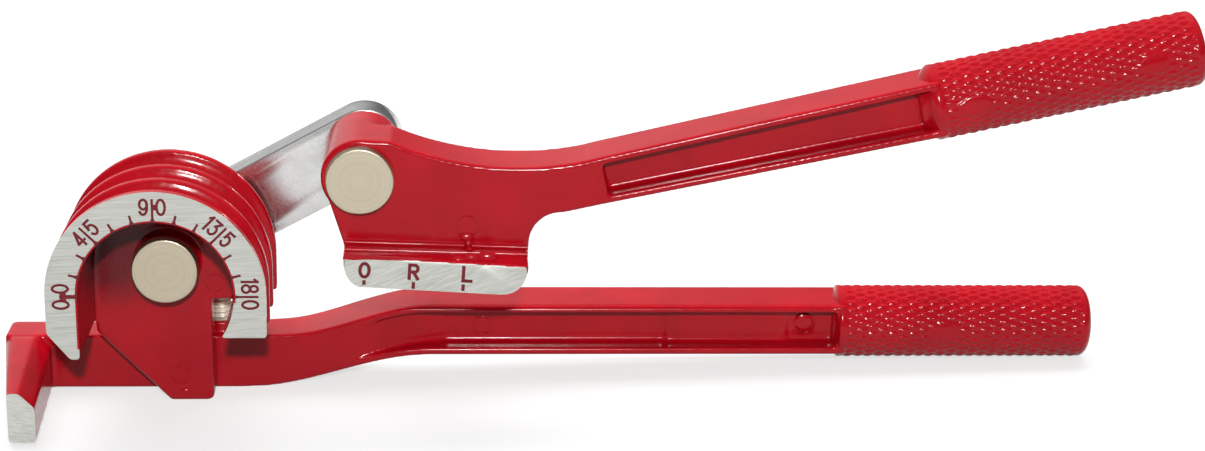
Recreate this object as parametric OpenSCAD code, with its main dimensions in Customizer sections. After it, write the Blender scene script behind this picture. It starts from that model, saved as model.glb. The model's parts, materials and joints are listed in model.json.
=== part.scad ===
// Lever tube bender with three grooves, for bends of up to 180 degrees.
// X runs right along the handles, Y away from the dial's face and Z up.
// The pieces are drawn from the wheel's axis, the dial's face and the foot, then centred.

/* [Tubes] */
// Outside diameter of the small tube, in the front groove
tube_small = 6.35; // [5.5:0.05:7]
// Outside diameter of the middle tube
tube_middle = 7.94; // [7:0.01:9]
// Outside diameter of the large tube, in the rear groove
tube_large = 9.53; // [8.5:0.01:10.5]
// Added to a groove's radius so that the tube drops in
groove_gap = 0.05; // [0.02:0.01:0.1]
// Thickness of the wheel's lands beside the grooves
land_t = 2.5; // [2:0.1:3.5]

/* [Forming wheel] */
// Radius of the wheel's lands, where the middle of a bent tube lies
wheel_r = 24; // [22:0.1:28]
// Radial width of the dial ring
dial_w = 7; // [6.4:0.1:8]
// Height of the wheel's axis above the foot
axis_h = 34.4; // [33:0.1:38]
// Length of the grooves' straight end on the right, below the axis
right_tail = 9.6; // [9:0.1:11]
// Length of the grooves' straight end on the left, down to its tip
left_tail = 14.7; // [12:0.1:17]
// Height of the slope that ends the left tail
tail_slope_h = 6.1; // [4:0.1:8]
// Width of the left tail's tip
tail_tip_w = 2; // [1:0.1:4]
// Thickness of the plate that hangs in front of the bar
plate_t = 8; // [5:0.1:9]
// Distance of the plate's right edge from the axis
plate_right = 9.5; // [7:0.1:10]
// Width of the plate's foot
plate_foot_w = 10; // [6:0.1:14]
// Height of the plate's left edge above the foot, where its slope starts
plate_slope_h = 17; // [15:0.1:19]
// Length of the boss under the wheel pin's head
hub_boss_l = 5.4; // [3:0.1:8]
// Radius of the bosses round the wheel pin
hub_r = 9; // [8.3:0.1:11]
// Length of the boss behind the wheel, on which the link runs
rear_boss_l = 1.2; // [0.6:0.1:3]
// Depth of the angle ticks cut in the dial
tick_d = 0.3; // [0.2:0.05:0.5]
// Width of the angle ticks
tick_w = 0.6; // [0.4:0.05:0.9]
// Length of the angle ticks
tick_l = 2.2; // [1.5:0.1:3]
// Angle between two ticks
tick_step = 15; // [5:5:45]

/* [Lower handle] */
// Depth of both handles' bars, front to back
bar_t = 14.4; // [12:0.1:16]
// Height of the bar under the wheel
bar_low_h = 13.1; // [11:0.1:14.5]
// Height of the bar's underside, above the foot, at the handle
bar_lift = 8; // [5:0.1:10]
// Height of the bar along the handle
bar_h = 12.3; // [10:0.1:14]
// Where the bar's top starts to rise, from the wheel's axis
rise_top_x = 25; // [22:0.5:30]
// Where the bar's underside starts to rise
rise_foot_x = 17; // [16:0.5:24]
// Where the rise ends
rise_end_x = 59; // [50:0.5:70]
// Length of the bar from the wheel's axis to the grip
bar_l = 157; // [130:1:200]
// Width of the hook's ground end
hook_w = 5.8; // [4:0.1:8]
// Height of the hook's ground end
hook_h = 11.6; // [8:0.1:12.5]
// Width of the bar's end behind the hook
hook_root_w = 10.3; // [8:0.1:14]
// Slope cut off the hook's upper inner corner
hook_cut = 3.4; // [2:0.1:5]
// Slack between the hook and a tube
hook_gap = 0.3; // [0.1:0.05:0.8]

/* [Grips and pockets] */
// Diameter of the grips
grip_d = 17.2; // [15.5:0.1:20]
// Length of the grips
grip_l = 60.5; // [45:0.5:80]
// Rounding at a grip's outer end
grip_round = 2.4; // [1:0.1:4]
// Rounding at a grip's inner end
grip_edge = 0.8; // [0.4:0.1:1.5]
// Depth of the pocket on each side of a handle
pocket_d = 5.6; // [3:0.1:6.5]
// Where the lower handle's pockets start, from the wheel's axis
pocket_x = 40; // [32:0.5:50]
// Slope of the pockets' left end
pocket_slope = 4; // [0:0.5:8]
// Width of the rims round the pockets
rim_w = 1.8; // [1.2:0.1:3]
// Height of the raised panel and button in the lower pocket
panel_t = 0.6; // [0.3:0.1:1.5]
// Length of the raised panel
panel_l = 29; // [20:0.5:40]
// Radius of the raised button
button_r = 2.1; // [1.5:0.1:3]
// Distance of the button's middle from the grip
button_inset = 8.1; // [5:0.1:12]
// Distance between the button's middle and the panel
panel_gap = 4.2; // [3.2:0.1:8]

/* [Upper handle] */
// Distance from the handle pin to the shoe's lands
shoe_drop = 24.9; // [23:0.1:28]
// Space between the shoe's lands and the wheel's lands when closed
shoe_gap = 1.7; // [1.2:0.05:1.8]
// Height of the shoe's block
shoe_h = 9.5; // [8:0.1:11]
// How far the shoe reaches left of the handle pin
shoe_left = 2.75; // [1:0.05:5]
// How far the shoe reaches right of the handle pin
shoe_right = 38.2; // [34:0.1:42]
// How far the shoe's ground face lies behind the dial's face
shoe_set = 1.5; // [0.5:0.1:2]
// Height of the slope along the shoe's front lower edge
shoe_edge = 1.2; // [0.5:0.1:1.4]
// Size of the slopes at the shoe's lower ends
shoe_end = 3.2; // [1:0.1:5]
// Land behind the shoe's rear groove
shoe_rear_land = 1.1; // [0.6:0.1:2]
// Depth of the ledge in front of the handle's body
ledge_d = 8; // [6:0.1:8.5]
// Radius of the boss round the handle pin
boss_r = 8.7; // [8.2:0.1:10]
// Angle below level at which the body's left edge leaves the boss
boss_angle = 20; // [0:1:40]
// Distance of the arm's root right of the handle pin
arm_x = 52.5; // [50:0.5:60]
// Height of the arm's root above the handle pin
arm_z = 2.3; // [0:0.1:4]
// Rise of the arm against the shoe, in degrees
arm_rise = 15.9; // [12:0.1:20]
// Length of the arm from its root to the grip
arm_l = 77.4; // [60:0.1:110]
// Height of the arm at its root
arm_root_h = 10.8; // [9:0.1:12]
// Height of the arm at the grip
arm_end_h = 12.8; // [10:0.1:14]
// Radius of the neck between the shoe and the arm
neck_r = 7.2; // [6:0.1:9]
// Radius of the long dip along the body's top
dip_r = 71; // [66:1:90]
// Height of the dip's lowest point above the handle pin
dip_z = 4.4; // [3:0.1:6]

/* [Link and pins] */
// Thickness of the link
link_t = 8.5; // [5:0.1:9]
// Width of the link
link_w = 17.4; // [15:0.1:17.8]
// Angle of the link above level, as it stands
link_angle = 28.7; // [0:0.1:60]
// Angle of the shoe below level, as it stands
shoe_tilt = 3.3; // [0:0.1:10]
// Diameter of both pivot pins
pin_d = 8; // [6:0.1:9]
// Diameter of the pins' heads
head_d = 15.1; // [13:0.1:16]
// Thickness of the pins' heads
head_t = 2.5; // [1.5:0.1:4]
// Chamfer on the pins' heads and tails
pin_chamfer = 0.4; // [0.2:0.05:0.8]
// Radial clearance of the bores that turn on the pins
run_gap = 0.05; // [0.02:0.01:0.09]
// Clearance between faces that slide on each other
face_gap = 0.25; // [0.15:0.05:0.4]
// Clearance between the link's sweep and what lies under it
sweep_gap = 0.7; // [0.4:0.1:1.5]
// Clearance between the shoe's rear and the bar that it passes
pass_gap = 0.5; // [0.3:0.1:1]
// Diameter of the washers
washer_d = 15; // [13:0.1:17]
// Thickness of the washers
washer_t = 1; // [0.6:0.1:1.6]
// Thickness of the retaining rings
ring_t = 1; // [0.8:0.1:1.5]
// Width of the retaining rings, from the groove outwards
ring_w = 2.6; // [2:0.1:3.2]
// Depth of the retaining rings' grooves
ring_groove_d = 0.8; // [0.5:0.1:1.2]
// Slot in the retaining rings
ring_slot = 5; // [4:0.1:5.5]
// Length of a pin behind its retaining ring
pin_tail = 1.4; // [1:0.1:3]

/* [Clamp screw] */
// Diameter of the screw
screw_d = 5; // [4:0.1:5.6]
// Pitch of the screw's thread
screw_pitch = 1.2; // [0.7:0.1:1.6]
// Distance of the screw right of the axis
screw_x = 10.4; // [8:0.1:11]
// Diameter of the screw's head
screw_head_d = 8.5; // [7.5:0.1:9]
// Height of the screw's head
screw_head_h = 5; // [3:0.1:6]
// How far the screw's head lies inside the foot
screw_sink = 0.4; // [0.1:0.1:1.5]
// Width of the hexagon socket
socket_w = 4; // [3:0.1:5]
// Depth of the hexagon socket
socket_d = 2.5; // [1.5:0.1:3.5]
// Radial clearance round the screw and its head
screw_gap = 0.2; // [0.1:0.05:0.4]
// Height of the boss round the screw on the bar
screw_boss_h = 2.8; // [1:0.1:4]
// Wall of the boss round the screw
screw_wall = 1.8; // [1.2:0.1:2.5]
// Wall between the screw's head and the bar's front
screw_head_wall = 1.2; // [0.8:0.1:2]
// Thickness of the lug that the screw is turned into
lug_t = 3.3; // [2.5:0.1:3.8]

/* [Hidden] */
$fn = 96;
red = [0.70, 0.09, 0.12];
nickel = [0.79, 0.75, 0.65];
steel = [0.78, 0.79, 0.80];
zinc = [0.66, 0.67, 0.68];
// Overshoot of a cut past the face that it leaves through
over = 1;
// Overlap of solids that are joined
join = 0.5;
// Number of straight steps along the bar's rise
rise_steps = 12;
// Depth of the screw's thread as a share of its pitch
thread_share = 0.4;

// Tubes in order from the dial's face, and the depth of each groove's middle
tubes = [tube_small, tube_middle, tube_large];
function tubes_before(i) = i == 0 ? 0 : tubes[i - 1] + tubes_before(i - 1);
groove_mid = [for (i = [0:2]) land_t * (i + 1) + tubes_before(i) + tubes[i] / 2];
drum_d = land_t * 4 + tube_small + tube_middle + tube_large;
dial_r = wheel_r - dial_w;

// Depths from the dial's face
shoe_half = sqrt(pow(tube_large / 2 + groove_gap, 2) - shoe_gap * shoe_gap);
shoe_rear = groove_mid[2] + shoe_half + shoe_rear_land;
bar_front = shoe_rear + pass_gap;
bar_rear = bar_front + bar_t;
grip_y = bar_front + bar_t / 2;
plate_front = bar_front - plate_t;
pin_seat = plate_front - hub_boss_l;
boss_rear = drum_d + rear_boss_l;
link_front = boss_rear + face_gap;
link_rear = link_front + link_t;
washer_front = link_rear + face_gap;
ring_front = washer_front + washer_t;
pin_end = ring_front + ring_t + pin_tail;
body_front = shoe_set + ledge_d;
body_rear = body_front + bar_t;
handle_seat = body_front - face_gap;

// Places in the X and Z plane
link_l = wheel_r + shoe_gap + shoe_drop;
pin2_x = link_l * cos(link_angle);
pin2_z = axis_h + link_l * sin(link_angle);
arm_angle = arm_rise - shoe_tilt;
grip_r = grip_d / 2;
bar_mid = bar_lift + bar_h / 2;
lug_top = axis_h - link_w / 2 - sweep_gap;
lug_foot = lug_top - lug_t;
screw_y = bar_front + screw_head_wall + screw_gap + screw_head_d / 2;
hook_front_x = -(wheel_r + tube_small / 2 + hook_gap);
hook_rear_x = -(wheel_r + tube_large / 2 + hook_gap);
bar_left = hook_rear_x - hook_root_w;

// The bounding box, for the origin under the middle of the part
tip_x = pin2_x + arm_x * cos(shoe_tilt) + arm_z * sin(shoe_tilt)
  + (arm_l + grip_l - grip_round) * cos(arm_angle) + (grip_r - grip_round) * sin(arm_angle) + grip_round;
mid_x = (max(tip_x, bar_l + grip_l) + bar_left) / 2;
mid_y = max(bar_rear, pin_end, grip_y + grip_r) / 2;

// Eased step from 0 to 1 as t goes from 0 to 1
function ease(t) = t * t * (3 - 2 * t);

// Height of the bar's top and underside above the foot, at x
function rise_at(x, from) = ease(min(max((x - from) / (rise_end_x - from), 0), 1));
function bar_top(x) = bar_low_h + (bar_lift + bar_h - bar_low_h) * rise_at(x, rise_top_x);
function bar_foot(x) = bar_lift * rise_at(x, rise_foot_x);

// Height of the arm at a distance from its root, and of its underside at x from the pin
function arm_h(s) = arm_root_h + (arm_end_h - arm_root_h) * s / arm_l;
function arm_under(x) = arm_z + (x - arm_x) * tan(arm_rise) - arm_root_h / 2 / cos(arm_rise);

// Steps of x along the bar, from one place to another
function bar_steps(from, to) = [for (i = [0:rise_steps]) from + (to - from) * i / rise_steps];

// Moves a piece drawn from the wheel's axis, the dial's face and the foot to the origin
module centred() {
  translate([-mid_x, -mid_y, 0])
    children();
}

// Extrudes an outline drawn in X and Z between two depths
module slab(from, to) {
  translate([0, to, 0])
    rotate([90, 0, 0])
      linear_extrude(to - from)
        children();
}

// A round bar along Y between two depths
module rod(from, to, r) {
  translate([0, from, 0])
    rotate([-90, 0, 0])
      cylinder(h = to - from, r = r);
}

// A grip along X, with both ends rounded
module grip() {
  rotate([0, 90, 0]) {
    translate([0, 0, grip_edge])
      cylinder(h = grip_l - grip_edge - grip_round, r = grip_r);
    cylinder(h = grip_l, r = grip_r - grip_round);
    cylinder(h = grip_l / 2, r = grip_r - grip_edge);
    translate([0, 0, grip_edge])
      rotate_extrude()
        translate([grip_r - grip_edge, 0])
          circle(grip_edge);
    translate([0, 0, grip_l - grip_round])
      rotate_extrude()
        translate([grip_r - grip_round, 0])
          circle(grip_round);
  }
}

// Outline of the bar, inset by a rim, between two places along it, with a sloped left end
module bar_outline(from, to, inset, slope) {
  upper = bar_steps(from + slope, rise_end_x);
  lower = bar_steps(rise_end_x, from);
  polygon(concat(
    [for (x = upper) [x, bar_top(x) - inset]],
    [[to, bar_lift + bar_h - inset], [to, bar_lift + inset]],
    [for (x = lower) [x, bar_foot(x) + inset]]));
}

// The hook's arm, from the bar forward to its ground end
module hook() {
  hull() {
    slab(0, join)
      polygon([[hook_front_x - hook_w, 0], [hook_front_x, 0], [hook_front_x, hook_h - hook_cut],
        [hook_front_x - hook_cut, hook_h], [hook_front_x - hook_w, hook_h]]);
    slab(bar_front, bar_front + join)
      polygon([[bar_left, 0], [hook_rear_x, 0], [hook_rear_x, bar_low_h - hook_cut],
        [hook_rear_x - hook_cut, bar_low_h], [bar_left + hook_cut / 2, bar_low_h],
        [bar_left, bar_low_h - hook_cut / 2]]);
  }
}

// Pockets on both sides of the lower bar, with the raised panel and button left in the front one
module bar_pockets() {
  floor_y = bar_front + pocket_d;
  button_x = bar_l - button_inset;
  difference() {
    slab(bar_front - over, floor_y)
      bar_outline(pocket_x, bar_l - rim_w / 2, rim_w, pocket_slope);
    slab(floor_y - panel_t, floor_y + over)
      translate([button_x - panel_gap - panel_l, 0])
        square([panel_l, bar_lift + bar_h]);
    translate([button_x, 0, bar_mid])
      rod(floor_y - panel_t, floor_y + over, button_r);
  }
  slab(bar_rear - pocket_d, bar_rear + over)
    bar_outline(pocket_x, bar_l - rim_w / 2, rim_w, pocket_slope);
}

// The fixed handle: hook, bar and grip in one casting
module lower_handle() {
  color(red)
    centred()
      difference() {
        union() {
          difference() {
            slab(bar_front, bar_rear)
              union() {
                translate([bar_left, 0])
                  square([rise_foot_x - bar_left, bar_low_h]);
                bar_outline(rise_foot_x, bar_l + join, 0, 0);
              }
            bar_pockets();
          }
          hook();
          translate([screw_x, screw_y, bar_low_h - join])
            cylinder(h = screw_boss_h + join, d = screw_d + 2 * screw_wall);
          translate([bar_l, grip_y, bar_mid])
            grip();
        }
        translate([screw_x, screw_y, -over])
          cylinder(h = axis_h, d = screw_d + 2 * screw_gap);
        translate([screw_x, screw_y, -over])
          cylinder(h = over + screw_sink + screw_head_h, d = screw_head_d + 2 * screw_gap);
      }
}

// Outline of the wheel: half a disc with its two tails
module wheel_outline() {
  intersection() {
    circle(wheel_r);
    translate([-wheel_r, 0])
      square([2 * wheel_r, wheel_r]);
  }
  translate([0, -right_tail])
    square([wheel_r, right_tail]);
  polygon([[0, 0], [-wheel_r, 0], [-wheel_r, tail_slope_h - left_tail],
    [-dial_r - tail_tip_w, -left_tail], [-dial_r, -left_tail], [0, -right_tail]]);
}

// Outline of the space inside the dial, open at the foot
module dial_space() {
  intersection() {
    circle(dial_r);
    polygon([[-dial_r, 0], [-dial_r, dial_r], [dial_r, dial_r], [dial_r, -dial_r], [0, -dial_r], [0, 0]]);
  }
  translate([-dial_r, -left_tail - over])
    square([dial_r, left_tail + over]);
}

// Outline of the plate that hangs in front of the bar, with a tongue into the left tail
module plate_outline() {
  foot = -axis_h;
  tail_side = -dial_r - 2 * join;
  tail_z = tail_slope_h - left_tail;
  polygon([[tail_side, join], [tail_side, tail_z], [-dial_r, tail_z], [-dial_r, foot + plate_slope_h],
    [plate_right - plate_foot_w, foot], [plate_right - join, foot], [plate_right, foot + join],
    [plate_right, join]]);
}

// Outline of the wheel's web above the lug
module web_outline() {
  intersection() {
    circle(dial_r + join);
    translate([-wheel_r, lug_top - axis_h - join])
      square([2 * wheel_r, 2 * wheel_r]);
  }
}

// Tube grooves round the wheel and down both tails
module wheel_grooves() {
  for (i = [0:2]) {
    r = tubes[i] / 2 + groove_gap;
    translate([0, groove_mid[i], 0])
      rotate([90, 0, 0])
        rotate_extrude(angle = 180)
          translate([wheel_r, 0])
            circle(r);
    for (side = [-1, 1])
      translate([side * wheel_r, groove_mid[i], -left_tail - over])
        cylinder(h = left_tail + over, r = r);
  }
}

// Angle ticks round the dial's inner edge
module dial_ticks() {
  for (a = [0:tick_step:180])
    rotate([0, -a, 0])
      translate([dial_r - join, -over, -tick_w / 2])
        cube([tick_l + join, over + tick_d, tick_w]);
}

// The forming wheel with its dial, web, plate and lug in one casting
module forming_wheel() {
  saddle_rear = screw_y + screw_d / 2 + screw_wall;
  lug_w = screw_x + screw_d / 2 + screw_wall + join;
  lug_front = plate_front + join;
  plate_slope_w = dial_r + plate_right - plate_foot_w;
  saddle_left = plate_slope_w * (1 - bar_low_h / plate_slope_h) - dial_r;
  color(red)
    centred()
      difference() {
        union() {
          translate([0, 0, axis_h])
            difference() {
              slab(0, drum_d)
                difference() {
                  wheel_outline();
                  dial_space();
                }
              wheel_grooves();
              dial_ticks();
            }
          translate([0, 0, axis_h]) {
            slab(plate_front, bar_front) {
              web_outline();
              plate_outline();
            }
            slab(bar_front - join, drum_d)
              web_outline();
            rod(pin_seat, plate_front + join, hub_r);
            rod(drum_d - join, boss_rear, hub_r);
          }
          translate([saddle_left, bar_front - join, bar_low_h])
            cube([-saddle_left, saddle_rear - bar_front + join, lug_top - bar_low_h]);
          translate([-join, lug_front, lug_foot])
            cube([lug_w, saddle_rear - lug_front, lug_t]);
          translate([-join, lug_front, lug_foot])
            cube([lug_w, drum_d - join - lug_front, lug_t + join]);
        }
        translate([0, 0, axis_h])
          rod(0, pin_end, pin_d / 2);
        translate([screw_x, screw_y, lug_foot - over])
          cylinder(h = lug_t + 2 * over, d = screw_d);
      }
}

// The screw that pulls the wheel down on the bar, with thread where it shows
module clamp_screw() {
  thread_foot = bar_low_h + screw_boss_h;
  turns = floor((lug_foot - thread_foot) / screw_pitch);
  head_top = screw_sink + screw_head_h;
  root = screw_d / 2 - screw_pitch * thread_share;
  color(zinc)
    centred()
      translate([screw_x, screw_y, 0])
        difference() {
          union() {
            translate([0, 0, screw_sink])
              cylinder(h = screw_head_h, d = screw_head_d);
            translate([0, 0, head_top - join])
              cylinder(h = thread_foot - head_top + join, d = screw_d);
            rotate_extrude()
              polygon(concat([[0, thread_foot]],
                [for (i = [0:turns - 1], k = [0, 1])
                  [k == 0 ? screw_d / 2 : root, thread_foot + (i + k / 2) * screw_pitch]],
                [[screw_d / 2, thread_foot + turns * screw_pitch], [screw_d / 2, lug_top], [0, lug_top]]));
          }
          translate([0, 0, screw_sink - over])
            rotate(30)
              cylinder(h = socket_d + over, d = socket_w / cos(30), $fn = 6);
        }
}

// A headed pivot pin from its seat to its tail, with the retaining ring's groove
module pivot_pin(seat) {
  r = pin_d / 2;
  translate([0, seat - head_t, 0])
    rotate([-90, 0, 0]) {
      cylinder(h = pin_chamfer, r1 = head_d / 2 - pin_chamfer, r2 = head_d / 2);
      translate([0, 0, pin_chamfer])
        cylinder(h = head_t - pin_chamfer, d = head_d);
    }
  difference() {
    rod(seat - join, pin_end - pin_chamfer, r);
    difference() {
      rod(ring_front, ring_front + ring_t, r + over);
      rod(ring_front - over, ring_front + ring_t + over, r - ring_groove_d);
    }
  }
  translate([0, pin_end - pin_chamfer, 0])
    rotate([-90, 0, 0])
      cylinder(h = pin_chamfer, r1 = r, r2 = r - pin_chamfer);
}

// A washer behind the link
module pin_washer() {
  difference() {
    rod(washer_front, washer_front + washer_t, washer_d / 2);
    rod(washer_front - over, washer_front + washer_t + over, pin_d / 2 + run_gap);
  }
}

// A slotted retaining ring in the pin's groove
module pin_ring() {
  r = pin_d / 2 - ring_groove_d;
  difference() {
    rod(ring_front, ring_front + ring_t, r + ring_w);
    rod(ring_front - over, ring_front + ring_t + over, r);
    translate([-ring_slot / 2, ring_front - over, -r - ring_w - over])
      cube([ring_slot, ring_t + 2 * over, ring_w + over + r / 2]);
  }
}

// Places what turns about the wheel's axis
module on_wheel_axis() {
  centred()
    translate([0, 0, axis_h])
      children();
}

// Places what turns about the handle pin
module on_handle_axis() {
  centred()
    translate([pin2_x, 0, pin2_z])
      children();
}

module wheel_pin() {
  color(nickel)
    on_wheel_axis()
      pivot_pin(pin_seat);
}

module wheel_pin_washer() {
  color(zinc)
    on_wheel_axis()
      pin_washer();
}

module wheel_pin_ring() {
  color(zinc)
    on_wheel_axis()
      pin_ring();
}

module handle_pin() {
  color(nickel)
    on_handle_axis()
      pivot_pin(handle_seat);
}

module handle_pin_washer() {
  color(zinc)
    on_handle_axis()
      pin_washer();
}

module handle_pin_ring() {
  color(zinc)
    on_handle_axis()
      pin_ring();
}

// The link between the two pins, behind the wheel
module link_arm() {
  color(steel)
    on_wheel_axis()
      rotate([0, -link_angle, 0])
        difference() {
          union() {
            rod(link_front, link_rear, link_w / 2);
            translate([link_l, 0, 0])
              rod(link_front, link_rear, link_w / 2);
            translate([0, link_front, -link_w / 2])
              cube([link_l, link_t, link_w]);
          }
          rod(link_front - over, link_rear + over, pin_d / 2 + run_gap);
          translate([link_l, 0, 0])
            rod(link_front - over, link_rear + over, pin_d / 2);
        }
}

// Outline of the upper handle's body, from the boss down to the ledge and across to the arm's root
module body_outline() {
  ledge_z = shoe_h - shoe_drop;
  neck_x = shoe_right + neck_r;
  neck_z = arm_under(neck_x) - neck_r;
  dip_x = (boss_r + arm_x) / 2;
  edge_r = boss_r - join;
  root_across = arm_root_h / 2 * sin(arm_rise);
  root_up = arm_root_h / 2 * cos(arm_rise);
  difference() {
    union() {
      circle(boss_r);
      polygon([[0, boss_r], [-edge_r * cos(boss_angle), -edge_r * sin(boss_angle)],
        [-shoe_left, ledge_z - join], [shoe_right, ledge_z - join], [shoe_right, neck_z], [neck_x, neck_z],
        [neck_x, arm_under(neck_x)], [arm_x + root_across, arm_z - root_up],
        [arm_x - root_across, arm_z + root_up], [arm_x - root_across, boss_r]]);
    }
    translate([neck_x, neck_z])
      circle(neck_r);
    translate([dip_x, dip_z + dip_r])
      circle(dip_r);
  }
}

// Outline of the tapered arm, inset by a rim, between two distances from its root
module arm_outline(from, to, inset) {
  translate([arm_x, arm_z])
    rotate(arm_rise)
      polygon([[from, inset - arm_h(from) / 2], [to, inset - arm_h(to) / 2],
        [to, arm_h(to) / 2 - inset], [from, arm_h(from) / 2 - inset]]);
}

// The shoe's block, with its front lower edge and both ends sloped
module shoe_block() {
  top = shoe_h - shoe_drop;
  difference() {
    slab(shoe_set, shoe_rear)
      polygon([[-shoe_left, top], [-shoe_left, shoe_end - shoe_drop], [shoe_end - shoe_left, -shoe_drop],
        [shoe_right - shoe_end, -shoe_drop], [shoe_right, shoe_end - shoe_drop], [shoe_right, top]]);
    translate([-shoe_left - over, shoe_set, -shoe_drop])
      rotate([90, 0, 90])
        linear_extrude(shoe_left + shoe_right + 2 * over)
          polygon([[-over, -over], [shoe_edge + over, -over], [-over, shoe_edge + over]]);
  }
}

// Half-round tube grooves along the shoe
module shoe_grooves() {
  for (i = [0:2])
    translate([-shoe_left - over, groove_mid[i], -shoe_drop - shoe_gap])
      rotate([0, 90, 0])
        cylinder(h = shoe_left + shoe_right + 2 * over, r = tubes[i] / 2 + groove_gap);
}

// The moving handle's head: boss, body and shoe, up to the arm's root
module upper_handle() {
  color(red)
    on_handle_axis()
      rotate([0, shoe_tilt, 0])
        difference() {
          union() {
            slab(body_front, body_rear)
              body_outline();
            rod(body_front, boss_rear, boss_r);
            shoe_block();
          }
          rod(body_front - over, boss_rear + over, pin_d / 2 + run_gap);
          shoe_grooves();
        }
}

// The moving handle's arm and grip, from the arm's root on
module upper_arm() {
  color(red)
    on_handle_axis()
      rotate([0, shoe_tilt, 0]) {
        difference() {
          slab(body_front, body_rear)
            arm_outline(0, arm_l + join, 0);
          slab(body_front - over, body_front + pocket_d)
            arm_outline(rim_w, arm_l - rim_w / 2, rim_w);
          slab(body_rear - pocket_d, body_rear + over)
            arm_outline(rim_w, arm_l - rim_w / 2, rim_w);
        }
        translate([arm_x, body_front + bar_t / 2, arm_z])
          rotate([0, -arm_rise, 0])
            translate([arm_l, 0, 0])
              grip();
      }
}

lower_handle();
forming_wheel();
clamp_screw();
wheel_pin();
wheel_pin_washer();
wheel_pin_ring();
link_arm();
handle_pin();
handle_pin_washer();
handle_pin_ring();
upper_handle();
upper_arm();
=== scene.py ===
"""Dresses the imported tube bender: softened castings in red enamel, ground faces, plated pins and link."""

import json
import logging
import math
from collections.abc import Callable
from dataclasses import dataclass
from enum import Enum

import bmesh
import bpy
from mathutils import Matrix, Vector


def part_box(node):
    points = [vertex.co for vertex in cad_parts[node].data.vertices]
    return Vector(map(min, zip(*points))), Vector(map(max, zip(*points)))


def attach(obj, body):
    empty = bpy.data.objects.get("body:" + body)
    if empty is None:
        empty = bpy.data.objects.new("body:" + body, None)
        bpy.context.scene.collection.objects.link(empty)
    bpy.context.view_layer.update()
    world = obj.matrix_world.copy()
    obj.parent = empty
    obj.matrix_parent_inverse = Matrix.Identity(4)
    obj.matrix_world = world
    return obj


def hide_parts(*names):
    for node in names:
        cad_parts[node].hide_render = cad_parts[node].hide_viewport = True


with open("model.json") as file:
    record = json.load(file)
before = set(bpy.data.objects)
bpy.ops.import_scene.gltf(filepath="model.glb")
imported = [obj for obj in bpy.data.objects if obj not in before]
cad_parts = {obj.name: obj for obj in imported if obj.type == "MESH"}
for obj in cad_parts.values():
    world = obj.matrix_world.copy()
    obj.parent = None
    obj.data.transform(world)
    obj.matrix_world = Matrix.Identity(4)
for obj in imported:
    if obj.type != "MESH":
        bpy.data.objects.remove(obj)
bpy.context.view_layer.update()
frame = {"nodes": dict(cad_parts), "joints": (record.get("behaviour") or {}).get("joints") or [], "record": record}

# Meshes are built in millimetres and handed over in metres.
MM = 0.001
LOG = logging.getLogger("tube_bender")

Mesh = bpy.types.Mesh
Node = bpy.types.Node
Solid = bmesh.types.BMesh
Point = tuple[float, float]
Triple = tuple[float, float, float]
Stroke = list[Point]


class Body(Enum):
    """The three bodies of the tool."""

    BASE = "base"
    LINK = "link"
    HANDLE = "handle"


class Slot(Enum):
    """The record's material slots."""

    PAINT = "red_paint"
    NICKEL = "nickel_plate"
    ZINC = "zinc_plate"
    STEEL = "link_steel"


class Merge(Enum):
    """How one solid is worked into another."""

    ADD = "UNION"
    TAKE = "DIFFERENCE"


class Layer(Enum):
    """Which finish of a casting a face takes, by its place in the casting's material list."""

    ENAMEL = 0
    GROUND = 1
    MARK = 2


# Shader nodes


def linear(colour: str) -> tuple[float, float, float, float]:
    """Turns an sRGB hex colour to linear light.

    Args:
        colour: Hex value such as "#A01020".

    Returns:
        Red, green, blue and an alpha of 1.
    """
    shares = [int(colour[i:i + 2], 16) / 255 for i in (1, 3, 5)]
    light = [s / 12.92 if s <= 0.04045 else ((s + 0.055) / 1.055) ** 2.4 for s in shares]
    return (light[0], light[1], light[2], 1.0)


def add_node(tree: bpy.types.NodeTree, kind: str, inputs: dict | None = None, **settings) -> Node:
    """Adds a shader node with its settings and links.

    Args:
        tree: Node tree to add to.
        kind: Node type without its ShaderNode prefix.
        inputs: Values, sockets or nodes by input name or place; a node gives its first enabled output.
        settings: Properties of the node itself.

    Returns:
        The new node.
    """
    node = tree.nodes.new("ShaderNode" + kind)
    for name, value in settings.items():
        setattr(node, name, value)
    for name, value in (inputs or {}).items():
        if isinstance(value, Node):
            value = next(socket for socket in value.outputs if socket.enabled)
        if isinstance(value, bpy.types.NodeSocket):
            tree.links.new(value, node.inputs[name])
        else:
            node.inputs[name].default_value = value
    return node


def bare_tree(owner: bpy.types.Material | bpy.types.World) -> bpy.types.NodeTree:
    """Gives a material or a world an empty node tree.

    Args:
        owner: The material or world.

    Returns:
        The tree.
    """
    owner.use_nodes = True
    owner.node_tree.nodes.clear()
    return owner.node_tree


def per_metre(size_mm: float) -> float:
    """Pattern scale for features of a size in millimetres, in object coordinates of metres."""
    return 1 / (size_mm * MM)


@dataclass(frozen=True)
class Surface:
    """A material in the making: its nodes, and the place on the piece that its patterns follow."""

    material: bpy.types.Material
    tree: bpy.types.NodeTree
    place: bpy.types.NodeSocket

    @classmethod
    def started(cls, name: str) -> "Surface":
        """Starts a material.

        Args:
            name: Name of the material.

        Returns:
            The material in the making.
        """
        material = bpy.data.materials.new(name)
        tree = bare_tree(material)
        return cls(material, tree, add_node(tree, "TexCoord").outputs["Object"])

    def finished(self, inputs: dict) -> bpy.types.Material:
        """Gives the material its shader.

        Args:
            inputs: The shader's values and sources by socket name.

        Returns:
            The finished material.
        """
        shader = add_node(self.tree, "BsdfPrincipled", inputs)
        add_node(self.tree, "OutputMaterial", {"Surface": shader})
        return self.material


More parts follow.
